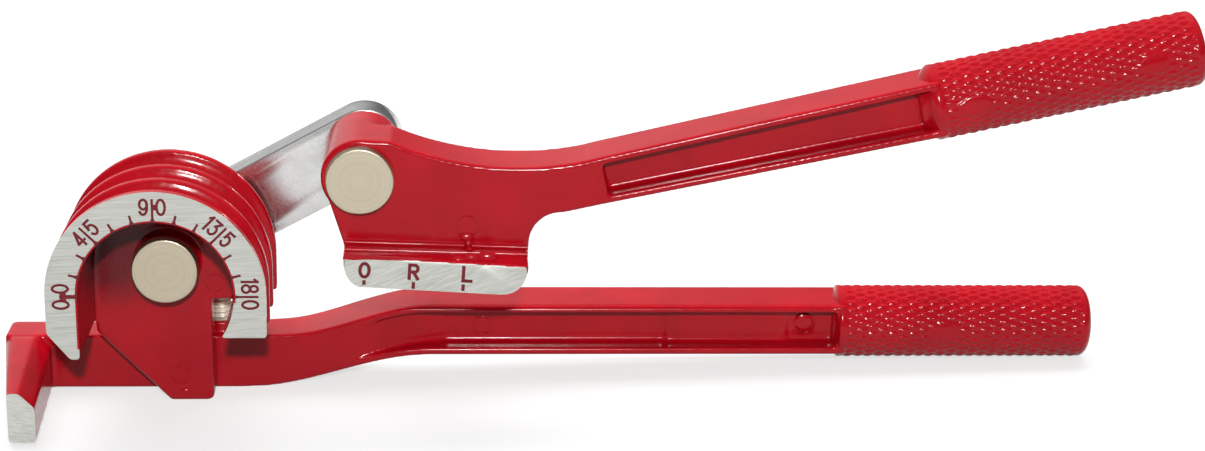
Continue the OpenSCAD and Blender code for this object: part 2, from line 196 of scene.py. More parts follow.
@dataclass(frozen=True)
class Enamel:
    """Stoved enamel sprayed on die castings: wet gloss with a faint orange peel and slightly uneven colour.

    Round one given place the colour darkens in specks towards a dark purple red: painted shade in a recess.
    """

    name: str = "red_enamel_on_die_casting"
    thick: str = "#9E0616"
    thin: str = "#AB0819"
    cloud_mm: float = 14.0
    peel_mm: float = 1.3
    peel_depth_mm: float = 0.007
    wave_mm: float = 4.5
    wave_depth_mm: float = 0.03
    smooth: float = 0.14
    rough: float = 0.22
    ior: float = 1.3
    # Painted shade in a recess: its dark colour, middle, reach and lightest share, and the size of its specks.
    painted_shade: str = "#58151C"
    painted_shade_at: Triple = (0.0, 0.0, 0.0)
    painted_shade_mm: float = 0.0
    painted_shade_least: float = 0.75
    speck_mm: float = 0.5

    def make(self) -> bpy.types.Material:
        """Builds the material.

        Returns:
            The material.
        """
        surface = Surface.started(self.name)
        tree, place = surface.tree, surface.place
        # Clouds the size of a spray pass give slightly thicker and thinner colour.
        cloud = add_node(tree, "TexNoise", {
            "Vector": place, "Scale": per_metre(self.cloud_mm), "Detail": 3.0})
        share = add_node(tree, "MapRange", {"Value": cloud, "From Min": 0.35, "From Max": 0.65})
        colour = add_node(tree, "Mix", {
            0: share, 6: linear(self.thick), 7: linear(self.thin)}, data_type="RGBA")
        # Orange peel is about a millimetre across and breaks up the long reflections.
        peel = add_node(tree, "TexNoise", {"Vector": place, "Scale": per_metre(self.peel_mm), "Detail": 1.0})
        gloss = add_node(tree, "MapRange", {
            "Value": peel, "From Min": 0.3, "From Max": 0.7, "To Min": self.smooth, "To Max": self.rough})
        # The casting under it is wavy over a few millimetres, which breaks long highlights into dashes.
        wave = add_node(tree, "TexNoise", {"Vector": place, "Scale": per_metre(self.wave_mm), "Detail": 0.0})
        sway = add_node(tree, "Bump", {
            "Height": wave, "Strength": 1.0, "Distance": self.wave_depth_mm * MM})
        bump = add_node(tree, "Bump", {
            "Height": peel, "Strength": 1.0, "Distance": self.peel_depth_mm * MM, "Normal": sway})
        return surface.finished({
            "Base Color": self.with_painted_shade(surface, colour), "Roughness": gloss, "Normal": bump, "IOR": self.ior})

    def with_painted_shade(self, surface: Surface, colour: Node) -> Node:
        """Darkens the colour in specks round one place: painted shade in the wheel's recess.

        Args:
            surface: The material in the making.
            colour: Node with the full colour.

        Returns:
            Node with the colour to use.
        """
        if not self.painted_shade_mm:
            return colour
        tree, place = surface.tree, surface.place
        middle = tuple(value * MM for value in self.painted_shade_at)
        reach = add_node(tree, "VectorMath", {0: place, 1: middle}, operation="DISTANCE")
        # The painted shade is broken into specks of half a millimetre.
        speck = add_node(tree, "TexNoise", {
            "Vector": place, "Scale": per_metre(self.speck_mm), "Detail": 2.0})
        share = add_node(tree, "MapRange", {
            "Value": reach, "From Min": self.painted_shade_mm * MM / 2, "From Max": self.painted_shade_mm * MM,
            "To Min": 1.0, "To Max": 0.0})
        level = add_node(tree, "MapRange", {
            "Value": speck, "From Min": 0.35, "From Max": 0.65, "To Min": self.painted_shade_least, "To Max": 1.0})
        amount = add_node(tree, "Math", {0: share, 1: level}, operation="MULTIPLY")
        # Painted shade: the colour goes towards the dark one round the middle.
        return add_node(tree, "Mix", {0: amount, 6: colour, 7: linear(self.painted_shade)}, data_type="RGBA")


@dataclass(frozen=True)
class MarkEnamel:
    """Enamel left in the engraved marks: thick and duller than on the open faces, and darker, partly as painted
    shade in the narrow cuts.
    """

    name: str = "dark_enamel_and_painted_shade_in_engraving"
    # Dark colours: partly thick enamel, partly painted shade in the cuts.
    deep: str = "#540814"
    pale: str = "#7E1220"
    patch_mm: float = 0.9
    rough: float = 0.45
    ior: float = 1.4

    def make(self) -> bpy.types.Material:
        """Builds the material.

        Returns:
            The material.
        """
        surface = Surface.started(self.name)
        tree, place = surface.tree, surface.place
        patch = add_node(tree, "TexNoise", {
            "Vector": place, "Scale": per_metre(self.patch_mm), "Detail": 2.0})
        colour = add_node(tree, "Mix", {
            0: patch, 6: linear(self.deep), 7: linear(self.pale)}, data_type="RGBA")
        return surface.finished({"Base Color": colour, "Roughness": self.rough, "IOR": self.ior})


@dataclass(frozen=True)
class GroundZinc:
    """Zinc alloy bared by a belt: pale grey, satin, with fine scratches in the belt's direction."""

    name: str
    lay_deg: float
    pale: str = "#BFC0BA"
    dull: str = "#A7A8A2"
    scratch_mm: float = 0.24
    length_mm: float = 12.0
    depth_mm: float = 0.02
    smooth: float = 0.34
    rough: float = 0.52

    def make(self) -> bpy.types.Material:
        """Builds the material.

        Returns:
            The material.
        """
        surface = Surface.started(self.name)
        tree = surface.tree
        turned = add_node(tree, "Mapping", {
            "Vector": surface.place, "Rotation": (0, math.radians(self.lay_deg), 0)})
        # Belt scratches are finer than a pixel, so they are drawn a quarter of a millimetre wide to show.
        along = per_metre(self.length_mm)
        across = per_metre(self.scratch_mm)
        drawn = add_node(tree, "Mapping", {"Vector": turned, "Scale": (along, across, across)})
        scratch = add_node(tree, "TexNoise", {
            "Vector": drawn, "Scale": 1.0, "Detail": 3.0, "Roughness": 0.65})
        share = add_node(tree, "MapRange", {"Value": scratch, "From Min": 0.36, "From Max": 0.58})
        colour = add_node(tree, "Mix", {
            0: share, 6: linear(self.dull), 7: linear(self.pale)}, data_type="RGBA")
        gloss = add_node(tree, "MapRange", {
            "Value": scratch, "From Min": 0.3, "From Max": 0.7, "To Min": self.rough, "To Max": self.smooth})
        bump = add_node(tree, "Bump", {"Height": scratch, "Strength": 0.5, "Distance": self.depth_mm * MM})
        return surface.finished({"Base Color": colour, "Roughness": gloss, "Normal": bump, "Metallic": 1.0})


@dataclass(frozen=True)
class TurnedNickel:
    """Nickel plate on turned pins: warm satin metal with rings left by the lathe."""

    name: str = "satin_nickel_on_turned_pin"
    pale: str = "#C0B6A2"
    dull: str = "#AAA08A"
    ring_mm: float = 0.8
    fleck_mm: float = 0.4
    depth_mm: float = 0.004
    smooth: float = 0.32
    rough: float = 0.48

    def make(self) -> bpy.types.Material:
        """Builds the material.

        Returns:
            The material.
        """
        surface = Surface.started(self.name)
        tree, place = surface.tree, surface.place
        flat = add_node(tree, "VectorMath", {0: place, 1: (1, 0, 1)}, operation="MULTIPLY")
        radius = add_node(tree, "VectorMath", {0: flat}, operation="LENGTH")
        count = add_node(tree, "Math", {0: radius, 1: per_metre(self.ring_mm)}, operation="MULTIPLY")
        # The lathe's feed leaves rings round the pin's axis.
        ring = add_node(tree, "TexNoise", {"W": count, "Scale": 1.0, "Detail": 2.0}, noise_dimensions="1D")
        fleck = add_node(tree, "TexNoise", {
            "Vector": place, "Scale": per_metre(self.fleck_mm), "Detail": 4.0})
        mixed = add_node(tree, "Math", {0: ring, 1: fleck}, operation="MULTIPLY")
        share = add_node(tree, "MapRange", {"Value": mixed, "From Min": -0.1, "From Max": 0.5})
        colour = add_node(tree, "Mix", {
            0: share, 6: linear(self.dull), 7: linear(self.pale)}, data_type="RGBA")
        gloss = add_node(tree, "MapRange", {
            "Value": fleck, "From Min": 0.3, "From Max": 0.7, "To Min": self.smooth, "To Max": self.rough})
        bump = add_node(tree, "Bump", {"Height": ring, "Strength": 0.4, "Distance": self.depth_mm * MM})
        return surface.finished({"Base Color": colour, "Roughness": gloss, "Normal": bump, "Metallic": 1.0})


@dataclass(frozen=True)
class PlatedSteel:
    """Plated steel sheet and wire: bright satin metal with a short grain and faint dull patches."""

    name: str
    pale: str
    dull: str
    smooth: float
    rough: float
    metallic: float = 1.0
    grain_mm: float = 0.35
    patch_mm: float = 5.0
    depth_mm: float = 0.006

    def make(self) -> bpy.types.Material:
        """Builds the material.

        Returns:
            The material.
        """
        surface = Surface.started(self.name)
        tree, place = surface.tree, surface.place
        patch = add_node(tree, "TexNoise", {
            "Vector": place, "Scale": per_metre(self.patch_mm), "Detail": 4.0, "Roughness": 0.6})
        grain = add_node(tree, "TexNoise", {
            "Vector": place, "Scale": per_metre(self.grain_mm), "Detail": 2.0})
        share = add_node(tree, "MapRange", {"Value": patch, "From Min": 0.35, "From Max": 0.6})
        colour = add_node(tree, "Mix", {
            0: share, 6: linear(self.dull), 7: linear(self.pale)}, data_type="RGBA")
        gloss = add_node(tree, "MapRange", {
            "Value": grain, "From Min": 0.3, "From Max": 0.7, "To Min": self.smooth, "To Max": self.rough})
        bump = add_node(tree, "Bump", {"Height": grain, "Strength": 0.6, "Distance": self.depth_mm * MM})
        return surface.finished({
            "Base Color": colour, "Roughness": gloss, "Normal": bump, "Metallic": self.metallic})


@dataclass(frozen=True)
class Finishes:
    """The materials that the pieces share."""

    enamel: bpy.types.Material
    wheel_enamel: bpy.types.Material
    mark: bpy.types.Material
    dial: bpy.types.Material
    shoe: bpy.types.Material
    hook: bpy.types.Material
    nickel: bpy.types.Material
    link: bpy.types.Material
    zinc: bpy.types.Material
    screw: bpy.types.Material

    @classmethod
    def made(cls) -> "Finishes":
        """Builds every finish once.

        Returns:
            The finishes.
        """
        return cls(
            enamel=Enamel().make(),
            # The wheel's enamel carries painted shade in the left of the recess round the pin.
            wheel_enamel=Enamel(
                "red_enamel_with_painted_shade_in_wheel_recess", painted_shade_at=(-109.8, 0.4, 37.4), painted_shade_mm=15.0).make(),
            mark=MarkEnamel().make(),
            dial=GroundZinc("ground_zinc_on_dial", lay_deg=4).make(),
            shoe=GroundZinc("ground_zinc_on_shoe", lay_deg=22, length_mm=4.5).make(),
            hook=GroundZinc(
                "ground_zinc_on_hook", lay_deg=-10, length_mm=3.0, pale="#CBCCC6", dull="#B2B3AD").make(),
            nickel=TurnedNickel().make(),
            link=PlatedSteel(
                "satin_plate_on_link_steel", pale="#CECECD", dull="#C5C5C4", smooth=0.17, rough=0.26).make(),
            zinc=PlatedSteel(
                "bright_zinc_on_steel", pale="#D8D6CC", dull="#B4B2A8", smooth=0.28, rough=0.4).make(),
            screw=PlatedSteel(
                "dull_passivated_zinc_on_screw", pale="#EFE8D6", dull="#DDD5C2", smooth=0.34, rough=0.5,
                metallic=0.4).make(),
        )


# Meshes


def mesh_of(solid: Solid) -> Mesh:
    """Turns a bmesh into a mesh and frees it.

    Args:
        solid: Solid to use up.

    Returns:
        The mesh, with an empty material slot for each layer.
    """
    bmesh.ops.recalc_face_normals(solid, faces=solid.faces)
    mesh = bpy.data.meshes.new("solid")
    solid.to_mesh(mesh)
    solid.free()
    for _ in Layer:
        mesh.materials.append(None)
    return mesh


def cad_copy(node: str) -> Solid:
    """Copies a CAD node as a closed bmesh in millimetres.

    Args:
        node: Name of the node.

    Returns:
        The copy.
    """
    solid = bmesh.new()
    solid.from_mesh(frame["nodes"][node].data)
    bmesh.ops.scale(solid, vec=(1 / MM,) * 3, verts=solid.verts)
    bmesh.ops.remove_doubles(solid, verts=solid.verts, dist=1e-3)
    return solid


def trim(solid: Solid, point: Vector, outward: Vector, reach: float) -> None:
    """Cuts a solid off square at a point and carries its flat end on.

    Args:
        solid: Solid to cut, in millimetres.
        point: Point on the cut.
        outward: Direction that is cut away.
        reach: How far the end is carried past the cut.
    """
    everything = [*solid.verts, *solid.edges, *solid.faces]
    bmesh.ops.bisect_plane(
        solid, geom=everything, dist=1e-4, plane_co=point, plane_no=outward, clear_outer=True)
    bmesh.ops.holes_fill(solid, edges=[edge for edge in solid.edges if edge.is_boundary])
    for vert in solid.verts:
        if abs((vert.co - point).dot(outward)) < 1e-3:
            vert.co += outward * reach


def push_front(solid: Solid, within: float, proud: float) -> None:
    """Moves a solid's front face towards the viewer, so that it can be ground back flat after softening.

    Args:
        solid: Solid to change, in millimetres.
        within: Depth behind the face up to which points count as its own.
        proud: How far the face is moved.
    """
    face = min(vert.co.y for vert in solid.verts)
    for vert in solid.verts:
        if vert.co.y < face + within:
            vert.co.y = face - proud


def placed(name: str, data: bpy.types.ID) -> bpy.types.Object:
    """Makes an object and links it to the scene.

    Args:
        name: Name of the object.
        data: Its mesh, lamp or camera.

    Returns:
        The object.
    """
    made = bpy.data.objects.new(name, data)
    bpy.context.scene.collection.objects.link(made)
    return made


def shaped(mesh: Mesh, *modifiers: tuple[str, dict]) -> Mesh:
    """Runs modifiers over a mesh.

    Args:
        mesh: Mesh to use up.
        modifiers: Each modifier's type and settings, in order.

    Returns:
        The resulting mesh.
    """
    holder = placed("holder", mesh)
    for kind, settings in modifiers:
        modifier = holder.modifiers.new(kind, kind)
        for name, value in settings.items():
            setattr(modifier, name, value)
    graph = bpy.context.evaluated_depsgraph_get()
    result = bpy.data.meshes.new_from_object(holder.evaluated_get(graph))
    bpy.data.objects.remove(holder)
    bpy.data.meshes.remove(mesh)
    return result


def merged(mesh: Mesh, tools: list[Mesh], how: Merge) -> Mesh:
    """Adds solids to a solid, or takes them from it, one after the other.

    Args:
        mesh: Closed mesh to use up.
        tools: Closed meshes to use up.
        how: Whether they are added or taken away.

    Returns:
        The resulting mesh.
    """
    holders = [placed("tool", tool) for tool in tools]
    result = shaped(mesh, *(
        ("BOOLEAN", {"object": holder, "operation": how.value, "solver": "MANIFOLD"}) for holder in holders))
    for holder in holders:
        tool = holder.data
        bpy.data.objects.remove(holder)
        bpy.data.meshes.remove(tool)
    return result


def even_turns(count: int) -> list[float]:
    """Angles of even steps round a circle, in radians."""
    return [2 * math.pi * i / count for i in range(count)]


def turned(profile: list[Point], sides: int,
           point: Callable[[float, float, float], Triple]) -> Solid:
    """Turns a profile round an axis.

    Args:
        profile: Radius and place along the axis, from one end's centre to the other's.
        sides: Number of steps round the axis.
        point: Gives the point for a radius, a place along the axis and an angle.

    Returns:
        A closed solid.
    """
    solid = bmesh.new()
    rings = []
    for radius, along in profile:
        steps = even_turns(sides if radius else 1)
        rings.append([solid.verts.new(point(radius, along, turn)) for turn in steps])
    skin(solid, rings)
    return solid


def skin(solid: Solid, rings: list[list[bmesh.types.BMVert]]) -> None:
    """Joins rings of points with faces; a ring of one point closes an end.

    Args:
        solid: Solid that holds the points.
        rings: Points of each ring in order.
    """
    for near, far in zip(rings, rings[1:]):
        count = max(len(near), len(far))
        for i in range(count):
            k = (i + 1) % count
            corners = [near[i % len(near)], near[k % len(near)], far[k % len(far)], far[i % len(far)]]
            solid.faces.new(list(dict.fromkeys(corners)))


def loft(sections: list[list[Vector]], layer: Layer, closed: bool = False) -> Mesh:
    """Runs a skin over sections with the same number of corners.

    Args:
        sections: Corners of each section in order.
        layer: Finish of all its faces.
        closed: Whether the last section joins the first; otherwise both ends are capped.

    Returns:
        A closed mesh.
    """
    solid = bmesh.new()
    rings = [[solid.verts.new(corner) for corner in section] for section in sections]
    skin(solid, rings + rings[:1] if closed else rings)
    if not closed:
        solid.faces.new(rings[0])
        solid.faces.new(rings[-1])
    for face in solid.faces:
        face.material_index = layer.value
    return mesh_of(solid)


def prism(outline: list[Point], front: float, rear: float, layer: Layer) -> Mesh:
    """Extrudes an outline in X and Z between two depths.

    Args:
        outline: Corners in order.
        front: Place of the front face along Y.
        rear: Place of the rear face.
        layer: Finish of all its faces.

    Returns:
        A closed mesh.
    """
    return loft([[Vector((x, y, z)) for x, z in outline] for y in (front, rear)], layer)


def ribbon(path: Stroke, width: float, front: float, rear: float, layer: Layer) -> Mesh:
    """A band of even width along a path in X and Z, between two depths.

    Args:
        path: Points along its middle; the first repeated at the end closes it.
        width: Width of the band.
        front: Place of its front along Y.
        rear: Place of its rear.
        layer: Finish of all its faces.

    Returns:
        A closed mesh.
    """
    closed = math.dist(path[0], path[-1]) < 1e-6
    points = [Vector(p) for p in (path[:-1] if closed else path)]
    count = len(points)
    if not closed:
        for end, next_to_it in ((0, 1), (-1, -2)):
            points[end] += (points[end] - points[next_to_it]).normalized() * width / 2
    sections = []
    for i, point in enumerate(points):
        ahead = points[(i + 1) % count] if closed or i + 1 < count else None
        behind = points[i - 1] if closed or i > 0 else None
        runs = [(ahead - point).normalized()] if ahead else []
        runs += [(point - behind).normalized()] if behind else []
        tangent = sum(runs, Vector((0, 0))).normalized()
        across = Vector((-tangent.y, tangent.x)) * width / 2 / max(abs(tangent.dot(runs[0])), 0.5)
        left, right = point + across, point - across
        corners = [(left, front), (right, front), (right, rear), (left, rear)]
        sections.append([Vector((p.x, y, p.y)) for p, y in corners])
    return loft(sections, layer, closed)


def ease(share: float) -> float:
    """Eased step from 0 to 1."""
    t = max(0.0, min(1.0, share))
    return t * t * (3 - 2 * t)


def ring_cut(middle: Point, radius: float, face: float, line: Point) -> Mesh:
    """A cutter for a round line in a face that looks to the front.

    Args:
        middle: Middle of the ring in X and Z.
        radius: Radius of the line.
        face: Place of the face along Y.
        line: Width and depth of the line.

    Returns:
        A closed mesh.
    """
    width, depth = line
    path = arc(middle, (radius, radius), 0, 360, steps=40)
    return ribbon(path, width, face - depth, face + depth, Layer.ENAMEL)


def bead(start: Vector, end: Vector, radius: float, sides: int = 20) -> Mesh:
    """A round bead between two points that lie about along X.

    Args:
        start: First end.
        end: Other end.
        radius: Radius of the bead.
        sides: Number of steps round it.

    Returns:
        A closed mesh.
    """
    round_it = [Vector((0, math.cos(t), math.sin(t))) * radius for t in even_turns(sides)]
    return loft([[point + step for step in round_it] for point in (start, end)], Layer.ENAMEL)


def drop(middle: Vector, size: Triple, lean_deg: float = 22.5) -> Mesh:
    """A flat drop of paint: an ellipsoid that leans back.

    Args:
        middle: Its middle.
        size: Its half sizes along X, Y and Z before it leans.
        lean_deg: How far it leans back from upright.

    Returns:
        A closed mesh.
    """
    solid = bmesh.new()
    lean = Matrix.Rotation(math.radians(-lean_deg), 4, "X")
    bmesh.ops.create_uvsphere(solid, u_segments=32, v_segments=20, radius=1,
                              matrix=Matrix.Translation(middle) @ lean @ Matrix.Diagonal((*size, 1)))
    return mesh_of(solid)


def arc(middle: Point, radii: Point, start: float, end: float, steps: int = 20) -> Stroke:
    """Points along an ellipse's arc, with angles in degrees from X towards Z."""
    angles = [math.radians(start + (end - start) * i / steps) for i in range(steps + 1)]
    return [(middle[0] + radii[0] * math.cos(a), middle[1] + radii[1] * math.sin(a)) for a in angles]


@dataclass(frozen=True)
class Plane:
    """A flat place in X and Z with its own origin and direction."""

    origin: Point
    turn_deg: float = 0.0

    def at(self, x: float, z: float) -> Point:
        """The place of a local point."""
        turn = math.radians(self.turn_deg)
        return (self.origin[0] + x * math.cos(turn) - z * math.sin(turn),
                self.origin[1] + x * math.sin(turn) + z * math.cos(turn))

    def path(self, points: Stroke) -> Stroke:
        """The places of several local points."""
        return [self.at(x, z) for x, z in points]


@dataclass(frozen=True)
class Lettering:
    """Single-stroke figures cut with a round tool, each drawn in a box of one by one."""

    width: float
    height: float
    line: float

    def strokes(self, sign: str) -> list[Stroke]:
        """The paths that make up a figure.

        Args:
            sign: The figure.

        Returns:
            Its strokes.
        """
        ring = arc((0, 0), (0.5, 0.5), 0, 360, 32)
        figures = {
            "0": [ring],
            "1": [[(-0.2, 0.32), (0.1, 0.5)], [(0.1, 0.5), (0.1, -0.5)]],
            "3": [[(-0.42, 0.5), (0.42, 0.5)], [(0.42, 0.5), (-0.04, 0.13)],
                  arc((0, -0.18), (0.46, 0.32), 90, -150)],
            "4": [[(0.16, -0.5), (0.16, 0.5)], [(0.16, 0.5), (-0.5, -0.22)], [(-0.5, -0.22), (0.5, -0.22)]],
            "5": [[(0.42, 0.5), (-0.3, 0.5)], [(-0.3, 0.5), (-0.38, 0.03)],
                  arc((0, -0.15), (0.46, 0.35), 148, -150)],
            "8": [arc((0, 0.26), (0.4, 0.24), 0, 360, 24), arc((0, -0.25), (0.5, 0.25), 0, 360, 24)],
            "9": [arc((-0.02, 0.18), (0.46, 0.32), 0, 360, 24), arc((-0.06, 0.0), (0.5, 0.5), 20, -140)],
            "R": [[(-0.45, -0.5), (-0.45, 0.5)], [(0.0, -0.02), (0.46, -0.5)],
                  [(-0.45, 0.5), *arc((0.1, 0.24), (0.36, 0.26), 90, -90), (-0.45, -0.02)]],
            "L": [[(-0.4, 0.5), (-0.4, -0.5)], [(-0.4, -0.5), (0.46, -0.5)]],
        }
        return figures[sign]

    def cut(self, sign: str, place: Plane, face: float, depth: float) -> list[Mesh]:
        """Cutters for one figure.

        Args:
            sign: The figure.
            place: Its middle and direction on the face.
            face: Place of the face along Y.
            depth: Depth of the cut.

        Returns:
            One cutter for each stroke.
        """
        made = []
        for stroke in self.strokes(sign):
            path = place.path([(x * self.width, z * self.height) for x, z in stroke])
            made.append(ribbon(path, self.line, face - depth, face + depth, Layer.MARK))
        return made


@dataclass(frozen=True)
class CastSkin:
    """How a die casting's edges are softened by its mould and paint."""

    grid: float = 0.36
    passes: int = 16
    keep: float = 0.3

    def over(self, mesh: Mesh) -> Mesh:
        """Rounds every edge and corner of a casting.

        Args:
            mesh: Closed mesh to use up.

        Returns:
            The softened mesh.
        """
        return shaped(
            mesh,
            ("REMESH", {"mode": "VOXEL", "voxel_size": self.grid}),
            ("SMOOTH", {"factor": 0.5, "iterations": self.passes}),
            ("DECIMATE", {"ratio": self.keep}),
        )


def engraved(mesh: Mesh, cutters: list[Mesh]) -> Mesh:
    """Takes overlapping cutters out of a solid in one step."""
    tool = merged(cutters[0], cutters[1:], Merge.ADD)
    return merged(mesh, [tool], Merge.TAKE)


def ground_off(mesh: Mesh, face: float) -> Mesh:
    """Grinds a casting flat.

    Args:
        mesh: Closed mesh to use up.
        face: Place along Y that everything in front of is ground away.

    Returns:
        The ground mesh.
    """
    span = 400.0
    thick = 20.0
    corners = [(-span, -span), (span, -span), (span, span), (-span, span)]
    return merged(mesh, [prism(corners, face - thick, face, Layer.GROUND)], Merge.TAKE)


def piece(name: str, mesh: Mesh, body: Body, materials: list[bpy.types.Material],
          nodes: tuple[str, ...], middle: Vector | None = None, crease_deg: float = 38) -> bpy.types.Object:
    """Hands a mesh over as a finished piece of the tool.

    Args:
        name: Name of the piece.
        mesh: Its mesh in millimetres.
        body: Body that it moves with.
        materials: Finishes in the order of its faces' layers.
        nodes: CAD nodes that it stands for.
        middle: Its own origin in millimetres, if not the frame's.
        crease_deg: Angle from which an edge stays sharp.

    Returns:
        The object.
    """
    mesh.name = name
    mesh.transform(Matrix.Scale(MM, 4))
    for place, material in enumerate(materials):
        mesh.materials[place] = material
    while len(mesh.materials) > len(materials):
        mesh.materials.pop()
    mesh.shade_smooth()
    mesh.set_sharp_from_angle(angle=math.radians(crease_deg))
    made = placed(name, mesh)
    if middle is not None:
        made.location = middle * MM
    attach(made, body.value)
    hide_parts(*nodes)
    LOG.info("%s: %d faces, rides on %s", name, len(mesh.polygons), body.value)
    return made


def joint_axis(name: str) -> Point:
    """X and Z of a joint's axis, in millimetres."""
    place = next(joint["pos_m"] for joint in frame["joints"] if joint["name"] == name)
    return (place[0] / MM, place[2] / MM)


def mount_turn(name: str) -> float:
    """Angle of a mount's axis above level, in degrees."""
    axis = next(mount["axis"] for mount in frame["record"]["mounts"] if mount["name"] == name)
    return math.degrees(math.atan2(axis[2], axis[0]))


def node_box(node: str) -> tuple[Vector, Vector]:
    """Lowest and highest corner of a CAD node, in millimetres."""
    low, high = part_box(node)
    return low / MM, high / MM


# The tool's pieces


@dataclass(frozen=True)
class Grip:
    """A cast grip with a net of long, domed diamonds, drawn along X from its inner end."""

    pads: tuple[Point, ...]
    shoulder_l: float
    radius: float = 8.6
    length: float = 60.5
    root_r: float = 5.9
    outer_round: float = 2.4
    collar: float = 0.6
    diamond_l: float = 4.95
    diamonds_round: int = 27
    relief: float = 0.4
    dome_power: float = 1.2
    fade_l: float = 1.2
    net_round: float = 1.5
    net_end: float = 0.7
    pad_l: float = 2.6
    pad_w: float = 1.9
    pad_depth: float = 0.1
    inner_cap: Point = (0.0, 3.0)
    outer_cap: Triple = (4.0, 2.0, 0.0)
    shoulder_steps: int = 8
    steps_round: int = 8
    steps_along: int = 14

    def profile(self) -> list[Point]:
        """The grip's rings, from one end's centre to the other's.

        Returns:
            Radius and place along the grip of each ring.
        """
        start = [(r, -self.shoulder_l) for r in self.inner_cap]
        shares = [i / self.shoulder_steps for i in range(self.shoulder_steps + 1)]
        inner = [(self.root_r + (self.radius - self.root_r) * ease(share), self.shoulder_l * (share - 1))
                 for share in shares]
        first, last = 0.0, self.length - self.outer_round
        rows = round((last - first) / self.diamond_l * self.steps_along)
        side = [(self.radius, first + (last - first) * i / rows) for i in range(1, rows)]
        outer = [(self.radius + self.outer_round * (math.cos(a) - 1), last + self.outer_round * math.sin(a))
                 for a in (math.radians(d) for d in range(0, 91, 10))]
        return start + inner + side + outer + [(r, self.length) for r in self.outer_cap]

    def height(self, along: float, turn: float) -> float:
        """How far the net stands below the grip's full radius.

        Args:
            along: Distance from the inner end.
            turn: Angle round the axis.

        Returns:
            Depth below the full radius, at most the relief.
        """
        u = along / self.diamond_l
        v = turn / (2 * math.pi) * self.diamonds_round
        dome = abs(math.sin(math.pi * (u + v)) * math.sin(math.pi * (u - v)))
        ends = min(along - self.collar, self.length - self.outer_round * self.net_end - along)
        fade = max(0.0, min(1.0, ends / self.fade_l))
        net = self.relief * fade * (1 - dome ** self.dome_power)
        for pad_along, pad_turn in self.pads:
            aside = math.remainder(turn - math.radians(pad_turn), 2 * math.pi) * self.radius
            reach = math.hypot((along - pad_along) / self.pad_l, aside / self.pad_w)
            # A pad is flat over its own size and has faded into the net at five thirds of it.
            net += (self.pad_depth - net) * ease(2.5 - 1.5 * reach)
        return net

    def point(self, radius: float, along: float, turn: float) -> Triple:
        """A point of the grip; the net reaches a little way round its edges.

        Args:
            radius: Radius before the net is cut.
            along: Distance from the inner end.
            turn: Angle round the axis.

        Returns:
            The point, with the grip along X.
        """
        if radius > self.radius - self.net_round:
            radius -= self.height(along, turn)
        return (along, radius * math.sin(turn), radius * math.cos(turn))

    def mesh(self, place: Matrix) -> Mesh:
        """Builds the grip and moves it into place.

        Args:
            place: Place and direction of its inner end.

        Returns:
            A closed mesh.
        """
        solid = turned(self.profile(), self.diamonds_round * self.steps_round, self.point)
        bmesh.ops.transform(solid, matrix=place, verts=solid.verts)
        return mesh_of(solid)


